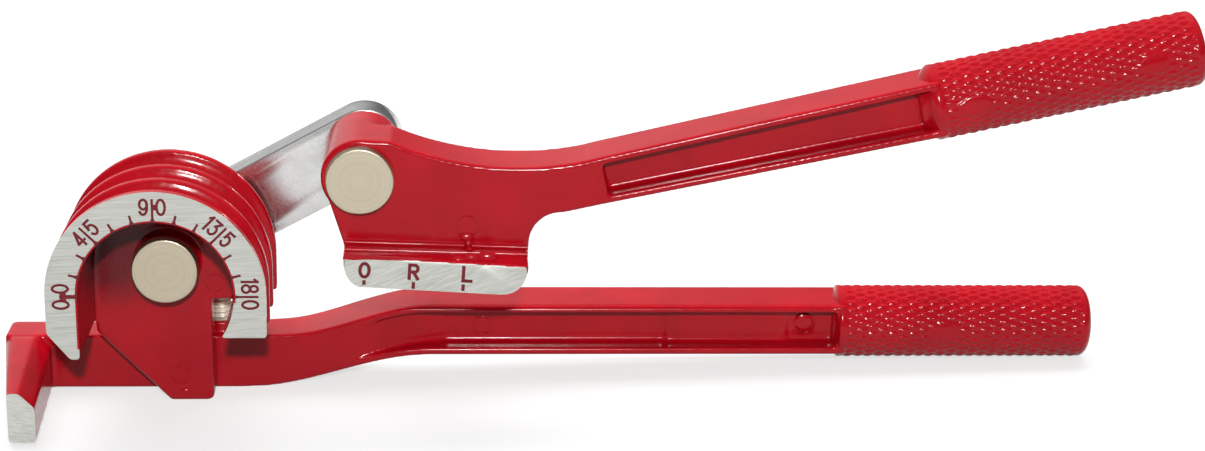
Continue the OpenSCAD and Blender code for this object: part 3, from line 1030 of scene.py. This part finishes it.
@dataclass
class LowerHandle:
    """The fixed handle: hook with a ground end, bar with pockets, and knurled grip."""

    finishes: Finishes
    grip: Grip = Grip(pads=((24.5, -92.0),), shoulder_l=1.6)
    bar_lift: float = 8.0
    bar_h: float = 12.3
    bar_low_h: float = 13.1
    bar_t: float = 14.4
    end_cut: float = 0.05
    end_reach: float = 1.2
    face_within: float = 0.1
    face_proud: float = 1.5
    mark_x: float = 71.7
    mark_z: float = 13.6
    mark_r: float = 2.2
    mark_line: Point = (0.45, 0.35)
    pocket_d: float = 5.6
    rise_top_x: float = 25.0
    rise_foot_x: float = 17.0
    rise_end_x: float = 59.0
    pocket_x: float = 40.0
    pocket_slope: float = 4.0
    ramp_end: float = 63.0
    ramp_inset: float = 1.1
    ramp_bow: float = 1.1
    ramp_steps: int = 16
    button_inset: float = 8.1
    button_r: float = 2.5
    button_line: Point = (0.5, 0.7)
    panel_t: float = 0.6
    bar_from: float = -41.0
    bar_to: float = 156.0
    bar_steps: int = 90
    rear_round: float = 6.0
    rear_span: Point = (5.0, 45.0)
    front_round: float = 1.5
    front_span: Point = (45.0, 62.0)
    least_round: float = 0.2
    round_steps: int = 10
    clear: float = 1.0

    def top(self, x: float) -> float:
        """Height of the bar's top at a distance right of the wheel's axis."""
        rise = ease((x - self.rise_top_x) / (self.rise_end_x - self.rise_top_x))
        return self.bar_low_h + (self.bar_lift + self.bar_h - self.bar_low_h) * rise

    def top_cut(self, wheel_x: float, span: Point, radii: Point, face: float, inward: int) -> Mesh:
        """A cutter that rounds one of the bar's long top edges.

        Args:
            wheel_x: Place of the wheel's axis along X.
            span: Where the radius starts and ends to change, right of that axis.
            radii: Radius up to the first place and from the second.
            face: Place of the bar's front or rear along Y.
            inward: Direction along Y into the bar.

        Returns:
            A closed mesh over the whole bar.
        """
        sections = []
        for i in range(self.bar_steps + 1):
            x = self.bar_from + (self.bar_to - self.bar_from) * i / self.bar_steps
            radius = radii[0] + (radii[1] - radii[0]) * ease((x - span[0]) / (span[1] - span[0]))
            top = self.top(x)
            bow = arc((0, top - radius), (radius, radius), 180, 90, self.round_steps)
            bow = [(face + inward * (along + radius), z) for along, z in bow]
            outside, above = face - inward * self.clear, top + self.clear
            outline = [(outside, above), (outside, top - radius), *bow, (bow[-1][0], above)]
            sections.append([Vector((wheel_x + x, y, z)) for y, z in outline])
        return loft(sections, Layer.ENAMEL)

    def side_cut(self, left: float, rear: float) -> Mesh:
        """The cutter that rounds the rear of the bar's left end.

        Args:
            left: Place of that end along X.
            rear: Place of the bar's rear along Y.

        Returns:
            A closed mesh.
        """
        radius = self.rear_round
        bow = arc((left + radius, rear - radius), (radius, radius), 180, 90, self.round_steps)
        outside, behind = left - self.clear, rear + self.clear
        outline = [(outside, behind), (outside, rear - radius), *bow, (left + radius, behind)]
        levels = (-self.clear, self.bar_low_h + self.clear)
        return loft([[Vector((x, y, z)) for x, y in outline] for z in levels], Layer.ENAMEL)

    def ramp_mesh(self, wheel_x: float, front: float) -> Mesh:
        """The long ramp at the left end of the front pocket.

        Args:
            wheel_x: Place of the wheel's axis along X.
            front: Place of the bar's front along Y.

        Returns:
            A closed mesh that reaches into the pocket's rims and floor.
        """
        start = self.pocket_x - self.clear
        far = front + self.pocket_d + self.clear
        sections = []
        for i in range(self.ramp_steps + 1):
            x = start + (self.ramp_end - start) * i / self.ramp_steps
            top = self.top(x) - self.ramp_inset
            climb = ease((x - self.rise_foot_x) / (self.rise_end_x - self.rise_foot_x))
            foot = self.bar_lift * climb + self.ramp_inset
            shares = (max(0.0, (x - from_x) / (self.ramp_end - from_x))
                      for from_x in (self.pocket_x, self.pocket_x + self.pocket_slope))
            low, high = (front + self.pocket_d * share ** self.ramp_bow for share in shares)
            outline = [(low, foot), (high, top), (far, top), (far, foot)]
            sections.append([Vector((wheel_x + x, y, z)) for y, z in outline])
        return loft(sections, Layer.ENAMEL)

    def build(self) -> None:
        """Makes the handle as one piece."""
        low, high = node_box("lower_handle")
        grip_x = high.x - self.grip.length
        bar_rear = high.y - self.grip.radius + self.bar_t / 2
        axis = Vector((grip_x, high.y - self.grip.radius, self.bar_lift + self.bar_h / 2))
        solid = cad_copy("lower_handle")
        trim(solid, axis - Vector((self.end_cut, 0, 0)), Vector((1, 0, 0)), self.end_reach)
        push_front(solid, self.face_within, self.face_proud)
        bar_front = bar_rear - self.bar_t
        wheel_x = joint_axis("link_pivot")[0]
        mesh = merged(mesh_of(solid), [
            self.top_cut(wheel_x, self.rear_span, (self.rear_round, self.least_round), bar_rear, -1),
            self.top_cut(wheel_x, self.front_span, (self.least_round, self.front_round), bar_front, 1),
            self.side_cut(low.x, bar_rear)], Merge.TAKE)
        mesh = CastSkin().over(merged(mesh, [self.ramp_mesh(wheel_x, bar_front)], Merge.ADD))
        mesh = merged(mesh, [self.grip.mesh(Matrix.Translation(axis))], Merge.ADD)
        mesh = ground_off(mesh, low.y)
        floor = bar_front + self.pocket_d
        mesh = merged(mesh, [
            ring_cut((wheel_x + self.mark_x, self.mark_z), self.mark_r, floor, self.mark_line),
            ring_cut((grip_x - self.button_inset, axis.z), self.button_r, floor - self.panel_t / 2,
                     self.button_line),
        ], Merge.TAKE)
        piece("lower_handle_casting", mesh, Body.BASE,
              [self.finishes.enamel, self.finishes.hook, self.finishes.mark], ("lower_handle",))


@dataclass
class FormingWheel:
    """The wheel: three grooved lands behind a ground dial with engraved angles."""

    finishes: Finishes
    inner_r: float = 17.0
    last_angle: int = 180
    angle_step: int = 15
    figure_r: float = 20.55
    figure_gap: float = 1.85
    figure_step: float = 1.8
    short_tick: float = 2.3
    long_tick: float = 5.4
    first_tick: float = 3.8
    tick_w: float = 0.54
    root_wide: float = 1.9
    root_narrow: float = 1.2
    root_wide_to: float = 110.0
    root_l: float = 1.0
    root_in: float = 0.6
    depth: float = 0.25
    figures: Lettering = Lettering(width=1.75, height=3.4, line=0.58)
    rim_line: float = 0.5
    rim_depth: float = 0.12
    rim_arc: Point = (-4.0, 180.0)
    rim_drop: float = 12.0
    face_within: float = 0.35
    face_proud: float = 1.5
    hub_r: float = 7.1
    hub_out: float = 9.9
    web_d: float = 24.66
    hub_d: float = 18.0
    hub_steps: int = 64
    cut_in: float = 0.5
    lug: tuple[float, float, float, float] = (9.5, -12.9, 15.0, -9.5)
    lug_d: float = 36.3
    corner: float = 1.5
    corner_d: float = 32.6
    corner_clear: float = 0.02
    web_mark: Point = (10.42, -5.23)
    web_line: Point = (0.45, 0.25)
    plate_mark: Point = (1.94, -27.85)
    plate_line: Point = (0.4, 0.2)
    nib: Point = (2.66, 2.5)
    nib_size: Triple = (1.1, 0.3, 0.6)
    mark_r: float = 2.1

    def angles(self) -> dict[int, tuple[str, str]]:
        """Angles that carry a number, with the figures left and right of their line."""
        return {0: ("0", "0"), 45: ("4", "5"), 90: ("9", "0"), 135: ("13", "5"), 180: ("18", "0")}

    def cutters(self, face: float) -> list[Mesh]:
        """Cutters for the dial's lines and figures.

        Args:
            face: Place of the dial's face along Y.

        Returns:
            The cutters.
        """
        middle = joint_axis("link_pivot")
        made = []
        for angle in range(0, self.last_angle + 1, self.angle_step):
            spoke = Plane(middle, 90 - angle)
            numbers = self.angles().get(angle)
            length = self.short_tick
            if numbers:
                length = self.long_tick if angle else self.first_tick
            root, neck, end = (self.inner_r + along for along in (-self.root_in, self.root_l, length))
            half = self.tick_w / 2
            flare = (self.root_wide if angle < self.root_wide_to else self.root_narrow) / 2
            outline = [(-flare, root), (flare, root), (half, neck), (half, end), (-half, end), (-half, neck)]
            made.append(prism(spoke.path(outline), face - self.depth, face + self.depth, Layer.MARK))
            for side, text in zip((-1, 1), numbers or ()):
                for i, sign in enumerate(reversed(text) if side < 0 else text):
                    across = side * (self.figure_gap + i * self.figure_step)
                    place = Plane(spoke.at(across, self.figure_r), 90 - angle)
                    made += self.figures.cut(sign, place, face, self.depth)
        for angle, path, width in self.smears():
            bridge = Plane(middle, 90 - angle).path(path)
            made.append(ribbon(bridge, width, face - self.depth, face + self.depth, Layer.MARK))
        return made

    def smears(self) -> list[tuple[float, Stroke, float]]:
        """Paint that bridges figures and their line: angle, path across and out, and width."""
        return [(0, [(0.0, 18.0), (0.0, 19.8)], 0.9), (0, [(-0.25, 20.0), (0.25, 20.0)], 1.4),
                (90, [(0.4, 20.5), (0.5, 20.5)], 1.3)]

    def trimmed(self, solid: Solid, front: float) -> Mesh:
        """Frees the pin's head and the screw's thread, and rounds the plate's corner.

        Args:
            solid: Copy of the CAD wheel.
            front: Place of the dial's face along Y.

        Returns:
            The trimmed mesh.
        """
        x, z = joint_axis("link_pivot")
        web = front + self.web_d
        hub = front + self.hub_d
        section = [(self.hub_r, hub), (self.hub_out, hub), (self.hub_out, web), (self.hub_r, web)]
        sections = []
        for turn in even_turns(self.hub_steps):
            sections.append([Vector((x + r * math.cos(turn), y, z + r * math.sin(turn))) for r, y in section])
        left, low, right, high = self.lug
        lug = [(x + left, z + low), (x + right, z + low), (x + right, z + high), (x + left, z + high)]
        foot = (x + left + self.corner_clear, -self.corner_clear)
        middle = (foot[0] - self.corner, foot[1] + self.corner)
        corner = [foot, *arc(middle, (self.corner, self.corner), 0, -90, steps=8)]
        return merged(mesh_of(solid), [
            loft(sections, Layer.ENAMEL, closed=True),
            prism(lug, web - self.cut_in, front + self.lug_d, Layer.ENAMEL),
            prism(corner, web - self.cut_in, front + self.corner_d, Layer.ENAMEL),
        ], Merge.TAKE)

    def build(self) -> None:
        """Makes the wheel as one piece."""
        face = node_box("forming_wheel")[0].y
        solid = cad_copy("forming_wheel")
        push_front(solid, self.face_within, self.face_proud)
        mesh = CastSkin().over(self.trimmed(solid, face))
        x, z = joint_axis("link_pivot")
        web = face + self.web_d
        mesh = merged(mesh, [drop(Vector((x + self.nib[0], web, self.nib[1])), self.nib_size)], Merge.ADD)
        mesh = ground_off(mesh, face)
        mesh = engraved(mesh, self.cutters(face))
        rim_r = self.inner_r + self.rim_line / 3
        rim = arc((x, z), (rim_r, rim_r), *self.rim_arc, steps=60) + [(x - rim_r, z - self.rim_drop)]
        mesh = merged(mesh, [
            ring_cut((x + self.web_mark[0], z + self.web_mark[1]), self.mark_r, web, self.web_line),
            ring_cut((x + self.plate_mark[0], z + self.plate_mark[1]), self.mark_r, web, self.plate_line),
            ribbon(rim, self.rim_line, face - self.rim_depth, face + self.rim_depth, Layer.ENAMEL),
        ], Merge.TAKE)
        piece("forming_wheel_casting", mesh, Body.BASE,
              [self.finishes.wheel_enamel, self.finishes.dial, self.finishes.mark], ("forming_wheel",))


@dataclass
class UpperHandle:
    """The moving handle: boss, body and ground shoe, with its arm and knurled grip."""

    finishes: Finishes
    grip: Grip = Grip(pads=((8.0, -92.0), (48.5, -84.0)), shoulder_l=3.6)
    arm_x: float = 52.5
    arm_z: float = 2.3
    arm_rise: float = 15.9
    arm_l: float = 77.38
    end_cut: float = 0.05
    end_reach: float = 1.2
    overlap: float = 0.6
    mark_depth: float = 0.3
    figures: Lettering = Lettering(width=2.0, height=3.1, line=0.76)
    face_within: float = 0.1
    face_proud: float = 0.12
    cut_out: float = 0.5
    ledge_z: float = -15.4
    ledge_from: float = 0.5
    ledge_sink: Point = (0.5, 0.05)
    ledge_lap: float = 0.2
    body_d: float = 8.0
    ends: Point = (-2.5, 37.9)
    upper_line: Point = (-14.6, -13.5)
    lower_line: Point = (-14.95, -13.75)
    lower_line_d: float = 3.9
    bead_r: float = 0.6
    toe: Point = (32.6, -17.2)
    toe_r: float = 5.2
    toe_arc: Point = (-15.0, -90.0)
    toe_d: float = 9.0
    toe_top: Point = (5.8, 2.0)
    toe_foot: Point = (-2.6, -9.0)
    toe_out: float = 8.0
    heel: Point = (1.6, -16.4)
    heel_r: Point = (4.1, 6.0)
    heel_arc: Point = (180.0, 250.0)
    heel_run: Point = (4.5, -2.4)
    heel_out: Point = (2.0, 5.0)
    heel_past: float = 1.0
    slope_z: Point = (-22.45, -25.5)
    slope_ends: Point = (-4.0, 40.0)
    slope_d: float = 3.2
    slope_fall: float = 0.33
    circle: Point = (24.2, -9.5)
    circle_r: float = 2.4
    circle_line: Point = (0.5, 0.3)
    lap_t: Point = (0.05, 0.4)

    def marks(self) -> list[tuple[str, float, float]]:
        """The shoe's index figures with their places right of and above the handle pin."""
        return [("0", 2.2, -18.5), ("R", 12.95, -18.25), ("L", 24.7, -18.15)]

    def dots(self) -> list[Triple]:
        """The short lines under the figures: place right of the pin, top and foot."""
        return [(2.2, -21.2, -21.5), (13.05, -21.0, -21.8), (24.0, -20.9, -21.7)]

    def drops(self) -> list[tuple[float, float, float, Triple]]:
        """A run of paint on the ledge: right of the pin, behind the face, above the pin, and half sizes."""
        return [(24.2, 7.9, -11.9, (1.7, 0.5, 1.0)), (24.7, 7.3, -13.3, (1.0, 0.9, 1.2)),
                (25.0, 5.2, -14.2, (1.1, 2.2, 0.8)), (25.4, 2.2, -14.9, (1.9, 0.9, 1.0)),
                (22.6, 1.2, -15.3, (1.7, 0.6, 0.9)), (28.9, 2.4, -14.5, (2.3, 0.6, 1.1))]

    @property
    def local(self) -> Plane:
        """The handle's own frame, at its pin and along its shoe."""
        return Plane(joint_axis("handle_pivot"), mount_turn("shoe_groove_small"))

    @property
    def face(self) -> float:
        """Place of the shoe's face along Y."""
        return node_box("upper_handle")[0].y

    def point(self, x: float, depth: float, z: float) -> Vector:
        """A point in the tool's frame from its place in the handle's.

        Args:
            x: Distance right of the pin.
            depth: Distance behind the face.
            z: Height above the pin.

        Returns:
            The point.
        """
        at_x, at_z = self.local.at(x, z)
        return Vector((at_x, self.face + depth, at_z))

    def ledge(self) -> Mesh:
        """The slope that fills the corner between the ledge and the body's front.

        Returns:
            A closed mesh.
        """
        foot, brow = (self.ledge_z - sink for sink in self.ledge_sink)
        rear = self.body_d + self.ledge_lap
        sections = []
        for x, upper, lower in zip(self.ends, self.upper_line, self.lower_line):
            corners = [(self.ledge_from, foot), (self.ledge_from, brow),
                       (self.lower_line_d, lower - self.bead_r / 2),
                       (rear, upper - self.bead_r / 2), (rear, foot)]
            sections.append([self.point(x, depth, z) for depth, z in corners])
        return loft(sections, Layer.ENAMEL)

    def beads(self) -> list[Mesh]:
        """The two fine beads along the ledge and the run of paint across them.

        Returns:
            Closed meshes that overlap.
        """
        made = []
        for depth, line in ((self.body_d, self.upper_line), (self.lower_line_d, self.lower_line)):
            start, end = (self.point(x, depth, z - self.bead_r / 2) for x, z in zip(self.ends, line))
            made.append(bead(start, end, self.bead_r))
        for x, depth, z, size in self.drops():
            made.append(drop(self.point(x, depth, z), size))
        return made

    def slope(self) -> Mesh:
        """The cutter for the slope under the shoe's face.

        Returns:
            A closed mesh.
        """
        top, foot = self.slope_z
        corners = [(-self.cut_out, top + self.cut_out * self.slope_fall), (-self.cut_out, foot),
                   (self.slope_d, foot), (self.slope_d, top - self.slope_d * self.slope_fall)]
        sections = [[self.point(x, depth, z) for depth, z in corners] for x in self.slope_ends]
        return loft(sections, Layer.ENAMEL)

    def toe_cut(self) -> Mesh:
        """The cutter for the shoe's rounded right-hand corner.

        Returns:
            A closed mesh.
        """
        x, z = self.toe
        bow = arc(self.toe, (self.toe_r, self.toe_r), *self.toe_arc, steps=12)
        top, low, right = z + self.toe_top[1], z + self.toe_foot[1], x + self.toe_out
        outline = [(x + self.toe_top[0], top), *bow, (x + self.toe_foot[0], low), (right, low), (right, top)]
        return prism(self.local.path(outline), self.face - self.cut_out, self.face + self.toe_d, Layer.ENAMEL)

    def heel_cut(self) -> Mesh:
        """The cutter for the shoe's rounded left-hand corner, through its whole depth.

        Returns:
            A closed mesh.
        """
        rear = node_box("upper_handle")[1].y + self.heel_past
        bow = arc(self.heel, self.heel_r, *self.heel_arc, steps=14)
        left, low = bow[0][0] - self.heel_out[0], bow[-1][1] - self.heel_out[1]
        run = (bow[-1][0] + self.heel_run[0], bow[-1][1] + self.heel_run[1])
        outline = [*bow, run, (run[0], low), (left, low), (left, bow[0][1])]
        return prism(self.local.path(outline), self.face - self.cut_out, rear, Layer.ENAMEL)

    def lap(self) -> Mesh:
        """Enamel that laps over the top of the ground face at its left end.

        Returns:
            A closed mesh.
        """
        outline = [(-2.45, -15.0), (17.0, -15.1), (15.5, -15.5), (11.0, -15.65), (7.0, -15.9), (3.0, -15.95),
                   (-0.5, -16.3), (-2.45, -16.2)]
        over, under = self.lap_t
        return prism(self.local.path(outline), self.face - over, self.face + under, Layer.ENAMEL)

    def cutters(self) -> list[Mesh]:
        """Cutters for the shoe's index marks.

        Returns:
            Closed meshes that may overlap.
        """
        local, face = self.local, self.face
        near, far = face - self.mark_depth, face + self.mark_depth
        made = []
        for sign, x, z in self.marks():
            made += self.figures.cut(sign, Plane(local.at(x, z), local.turn_deg), face, self.mark_depth)
        for x, top, foot in self.dots():
            path = local.path([(x, top), (x, foot)])
            made.append(ribbon(path, self.figures.line, near, far, Layer.MARK))
        return made

    def build(self) -> None:
        """Makes the handle as one piece."""
        rise = math.radians(self.local.turn_deg + self.arm_rise)
        along = Vector((math.cos(rise), 0, math.sin(rise)))
        root_x, root_z = self.local.at(self.arm_x, self.arm_z)
        root = Vector((root_x, node_box("upper_arm")[0].y + self.grip.radius, root_z))
        end = root + along * self.arm_l

        arm = cad_copy("upper_arm")
        trim(arm, end - along * self.end_cut, along, self.end_reach)
        for vert in arm.verts:
            if abs((vert.co - root).dot(along)) < 1e-2:
                vert.co -= along * self.overlap
        solid = cad_copy("upper_handle")
        push_front(solid, self.face_within, self.face_proud)
        solid.from_mesh(mesh_of(arm))
        solid.from_mesh(self.ledge())
        mesh = CastSkin().over(mesh_of(solid))
        place = Matrix.Translation(end) @ Matrix.Rotation(-rise, 4, "Y")
        mesh = merged(mesh, [self.grip.mesh(place), *self.beads()], Merge.ADD)
        mesh = merged(ground_off(mesh, self.face), [self.lap()], Merge.ADD)
        body_face = self.face + self.body_d
        circle = ring_cut(self.local.at(*self.circle), self.circle_r, body_face, self.circle_line)
        mesh = merged(mesh, [self.slope(), self.toe_cut(), self.heel_cut(), circle], Merge.TAKE)
        mesh = engraved(mesh, self.cutters())
        piece("upper_handle_casting", mesh, Body.HANDLE,
              [self.finishes.enamel, self.finishes.shoe, self.finishes.mark], ("upper_handle", "upper_arm"))


@dataclass
class PivotPin:
    """A headed pin with its washer and retaining ring."""

    finishes: Finishes
    node: str
    joint: str
    body: Body
    radius: float = 4.0
    head_t: float = 2.5
    head_round: float = 0.45
    ring_groove: float = 0.8
    ring_t: float = 1.0
    tail: float = 1.4
    chamfer: float = 0.4
    feed: float = 0.55
    feed_depth: float = 0.003
    sides: int = 96
    washer_edge: float = 0.25
    ring_edge: float = 0.2

    def profile(self, length: float, head_r: float) -> list[Point]:
        """Radius and place along the pin, from the head's centre to the tail's.

        Args:
            length: Length of the pin with its head.
            head_r: Radius of the head.

        Returns:
            The points.
        """
        flat_r = head_r - self.head_round
        # Four rings of points to each step of the feed draw its ridge and its valley.
        rings = round(flat_r / self.feed * 4)
        face = [(flat_r * i / rings, self.feed_depth * (1 - math.cos(i * math.pi / 2))) for i in range(rings)]
        edge = [(flat_r + self.head_round * math.sin(a), self.head_round * (1 - math.cos(a)))
                for a in (math.radians(d) for d in range(0, 91, 15))]
        groove_r = self.radius - self.ring_groove
        groove_end = length - self.tail
        return face + edge + [
            (head_r, self.head_t), (self.radius, self.head_t), (self.radius, groove_end - self.ring_t),
            (groove_r, groove_end - self.ring_t), (groove_r, groove_end), (self.radius, groove_end),
            (self.radius, length - self.chamfer), (self.radius - self.chamfer, length), (0, length)]

    def point(self, radius: float, along: float, turn: float) -> Triple:
        """A point of the pin, which lies along Y."""
        return (radius * math.cos(turn), along, radius * math.sin(turn))

    def build(self) -> None:
        """Makes the pin, its washer and its ring."""
        low, high = node_box(self.node)
        x, z = joint_axis(self.joint)
        head_r = (high.x - low.x) / 2
        mesh = mesh_of(turned(self.profile(high.y - low.y, head_r), self.sides, self.point))
        piece(self.node + "_turned", mesh, self.body, [self.finishes.nickel], (self.node,),
              Vector((x, low.y, z)))
        for part, width in (("washer", self.washer_edge), ("ring", self.ring_edge)):
            node = f"{self.node}_{part}"
            mesh = rounded_copy(node, width)
            piece(node + "_stamped", mesh, self.body, [self.finishes.zinc], (node,))


def rounded_copy(node: str, width: float) -> Mesh:
    """Copies a CAD node with its sharp edges rounded.

    Args:
        node: Name of the node.
        width: Width of the rounding in millimetres.

    Returns:
        The mesh in millimetres.
    """
    solid = cad_copy(node)
    bmesh.ops.dissolve_limit(solid, angle_limit=math.radians(1.5), verts=solid.verts, edges=solid.edges)
    return shaped(mesh_of(solid), ("BEVEL", {"width": width, "segments": 3, "limit_method": "ANGLE",
                                             "angle_limit": math.radians(40)}))


@dataclass
class LinkArm:
    """The plated steel link behind the wheel."""

    finishes: Finishes
    edge: float = 0.35

    def build(self) -> None:
        """Makes the link."""
        piece("link_arm_stamped", rounded_copy("link_arm", self.edge), Body.LINK,
              [self.finishes.link], ("link_arm",))


@dataclass
class ClampScrew:
    """The socket screw that pulls the wheel down on the bar."""

    finishes: Finishes
    radius: float = 2.5
    pitch: float = 1.2
    depth: float = 0.48
    head_h: float = 5.0
    head_edge: float = 0.4
    socket_w: float = 4.0
    socket_d: float = 2.5
    socket_past: float = 1.0
    thread_from: float = 15.9
    sides: int = 48
    rows_per_turn: int = 10

    def profile(self, foot: float, top: float, head_r: float) -> list[Point]:
        """Radius and height along the screw, from its head's centre to its end's.

        Args:
            foot: Height of the head's underside.
            top: Height of the thread's end.
            head_r: Radius of the head.

        Returns:
            The points, with the thread not yet cut.
        """
        neck = foot + self.head_h
        flat_r = head_r - self.head_edge
        head = [(0.0, foot), (flat_r, foot), (head_r, foot + self.head_edge), (head_r, neck - self.head_edge),
                (flat_r, neck), (self.radius, neck)]
        count = round((top - self.thread_from) / self.pitch * self.rows_per_turn)
        rows = [self.thread_from + (top - self.thread_from) * i / count for i in range(count + 1)]
        return head + [(self.radius, z) for z in rows] + [(0.0, top)]

    def point(self, middle: Vector, radius: float, z: float, turn: float) -> Triple:
        """A point of the screw, drawn in where the thread's flank falls.

        Args:
            middle: Point on the screw's axis.
            radius: Radius before the thread is cut.
            z: Height of the point.
            turn: Angle round the axis.

        Returns:
            The point.
        """
        if radius and z >= self.thread_from:
            phase = (z / self.pitch - turn / (2 * math.pi)) % 1
            radius -= self.depth * (1 - abs(2 * phase - 1))
        return (middle.x + radius * math.cos(turn), middle.y + radius * math.sin(turn), z)

    def build(self) -> None:
        """Makes the screw with a true helical thread and a hexagon socket."""
        low, high = node_box("clamp_screw")
        middle = (low + high) / 2
        rows = self.profile(low.z, high.z, (high.x - low.x) / 2)
        mesh = mesh_of(turned(rows, self.sides, lambda radius, z, turn: self.point(middle, radius, z, turn)))
        socket_r = self.socket_w / math.sqrt(3)
        hexagon = arc((middle.x, middle.y), (socket_r, socket_r), 30, 330, steps=5)
        levels = (low.z - self.socket_past, low.z + self.socket_d)
        socket = loft([[Vector((x, y, z)) for x, y in hexagon] for z in levels], Layer.ENAMEL)
        mesh = merged(mesh, [socket], Merge.TAKE)
        piece("clamp_screw_threaded", mesh, Body.BASE, [self.finishes.screw], ("clamp_screw",),
              crease_deg=50)


# The studio


@dataclass(frozen=True)
class Lamp:
    """A rectangular lamp, in millimetres in the tool's frame."""

    name: str
    place: Triple
    aim: Triple
    size: Point
    watts: float
    mirrored: bool = True

    def hang(self) -> None:
        """Adds the lamp; glossy surfaces show its image only if it is mirrored."""
        data = bpy.data.lights.new(self.name, "AREA")
        data.shape = "RECTANGLE"
        data.size = self.size[0] * MM
        data.size_y = self.size[1] * MM
        data.energy = self.watts
        lamp = placed(self.name, data)
        lamp.visible_glossy = self.mirrored
        lamp.location = Vector(self.place) * MM
        lamp.rotation_euler = (Vector(self.aim) - Vector(self.place)).to_track_quat("-Z", "Y").to_euler()


@dataclass(frozen=True)
class Studio:
    """Camera, pale floor, soft fill and two lamps, in millimetres in the tool's frame."""

    lens: float = 71.82
    camera: Triple = (-31.0, -523.4, 214.0)
    target: Triple = (0.764, -24.23, 51.05)
    roll_deg: float = 1.254
    rest_left: Point = (-87.3, 0.0)
    rest_right: Point = (120.0, 5.55)
    floor_span: float = 12000.0
    floor_white: str = "#929292"
    floor_lift: float = 0.66
    fill_low: float = 0.09
    fill_high: float = 0.5
    wall_way: Triple = (-0.453, 0.855, 0.252)
    wall_span: Point = (0.8, 0.97)
    wall_light: float = 0.55
    lamps: tuple[Lamp, ...] = (
        Lamp("key_lamp", place=(-17, -750, 405), aim=(0, 0, 45), size=(36, 30), watts=5.5),
        Lamp("rear_softbox", place=(-60, 500, 930), aim=(0, 0, 40), size=(1400, 900), watts=19.0,
             mirrored=False),
    )

    def build(self) -> None:
        """Sets the stage."""
        self.add_camera()
        self.add_floor()
        self.add_world()
        for lamp in self.lamps:
            lamp.hang()
        bpy.context.scene.view_settings.view_transform = "Standard"

    def add_camera(self) -> None:
        """Places the camera where the photograph was taken from."""
        data = bpy.data.cameras.new("camera")
        data.lens = self.lens
        data.sensor_fit = "HORIZONTAL"
        data.clip_start = 0.01
        camera = placed("camera", data)
        back = (Vector(self.camera) - Vector(self.target)).normalized()
        level = Vector((0, 0, 1)).cross(back).normalized()
        upright = back.cross(level)
        roll = math.radians(self.roll_deg)
        right = level * math.cos(roll) + upright * math.sin(roll)
        up = back.cross(right)
        facing = Matrix((right, up, back)).transposed().to_4x4()
        camera.matrix_world = Matrix.Translation(Vector(self.camera) * MM) @ facing
        bpy.context.scene.camera = camera

    def seen(self, tree: bpy.types.NodeTree) -> Node:
        """Tells what is seen, directly or in a mirror or glass, from what is only lit.

        Args:
            tree: Node tree to add to.

        Returns:
            A node that gives 1 for camera, mirror and glass rays, and 0 for the rest.
        """
        rays = add_node(tree, "LightPath").outputs
        pair = add_node(tree, "Math", {
            0: rays["Is Camera Ray"], 1: rays["Is Glossy Ray"]}, operation="MAXIMUM")
        return add_node(tree, "Math", {0: pair, 1: rays["Is Transmission Ray"]}, operation="MAXIMUM")

    def add_floor(self) -> None:
        """Lays the floor under the plate's foot and the lower grip, so it is slightly tilted."""
        slope = math.atan2(self.rest_right[1] - self.rest_left[1], self.rest_right[0] - self.rest_left[0])
        half = self.floor_span / 2
        solid = bmesh.new()
        solid.faces.new([solid.verts.new(Vector(corner) * MM) for corner in
                         ((-half, -half, 0), (half, -half, 0), (half, half, 0), (-half, half, 0))])
        mesh = bpy.data.meshes.new("floor")
        solid.to_mesh(mesh)
        solid.free()
        material = bpy.data.materials.new("white_floor")
        tree = bare_tree(material)
        diffuse = add_node(tree, "BsdfDiffuse", {"Color": linear(self.floor_white)})
        lift = add_node(tree, "Math", {0: self.seen(tree), 1: self.floor_lift}, operation="MULTIPLY")
        glow = add_node(tree, "Emission", {"Strength": lift})
        both = add_node(tree, "AddShader", {0: diffuse, 1: glow})
        add_node(tree, "OutputMaterial", {"Surface": both})
        mesh.materials.append(material)
        floor = placed("floor", mesh)
        floor.location = Vector((self.rest_left[0], 0, self.rest_left[1])) * MM
        floor.rotation_euler = (0, -slope, 0)

    def add_world(self) -> None:
        """A plain soft fill, paler overhead than at the horizon, with a white wall at the back left."""
        world = bpy.data.worlds.new("studio")
        bpy.context.scene.world = world
        tree = bare_tree(world)
        sight = add_node(tree, "TexCoord").outputs["Generated"]
        way = add_node(tree, "SeparateXYZ", {0: sight})
        level = add_node(tree, "MapRange", {
            "Value": way.outputs["Z"], "To Min": self.fill_low, "To Max": self.fill_high})
        facing = add_node(tree, "VectorMath", {0: sight, 1: self.wall_way}, operation="DOT_PRODUCT")
        wall = add_node(tree, "MapRange", {
            "Value": facing, "From Min": self.wall_span[0], "From Max": self.wall_span[1],
            "To Max": self.wall_light})
        fill = add_node(tree, "Math", {0: level, 1: wall}, operation="ADD")
        sky = add_node(tree, "Background", {"Color": linear("#FFFFFF"), "Strength": fill})
        add_node(tree, "OutputWorld", {"Surface": sky})


def main() -> None:
    """Builds the studio and every piece."""
    logging.basicConfig(level=logging.INFO, format="%(name)s: %(message)s")
    Studio().build()
    finishes = Finishes.made()
    LowerHandle(finishes).build()
    FormingWheel(finishes).build()
    UpperHandle(finishes).build()
    PivotPin(finishes, "wheel_pin", "link_pivot", Body.BASE).build()
    PivotPin(finishes, "handle_pin", "handle_pivot", Body.LINK).build()
    LinkArm(finishes).build()
    ClampScrew(finishes).build()


if __name__ == "__main__":
    main()
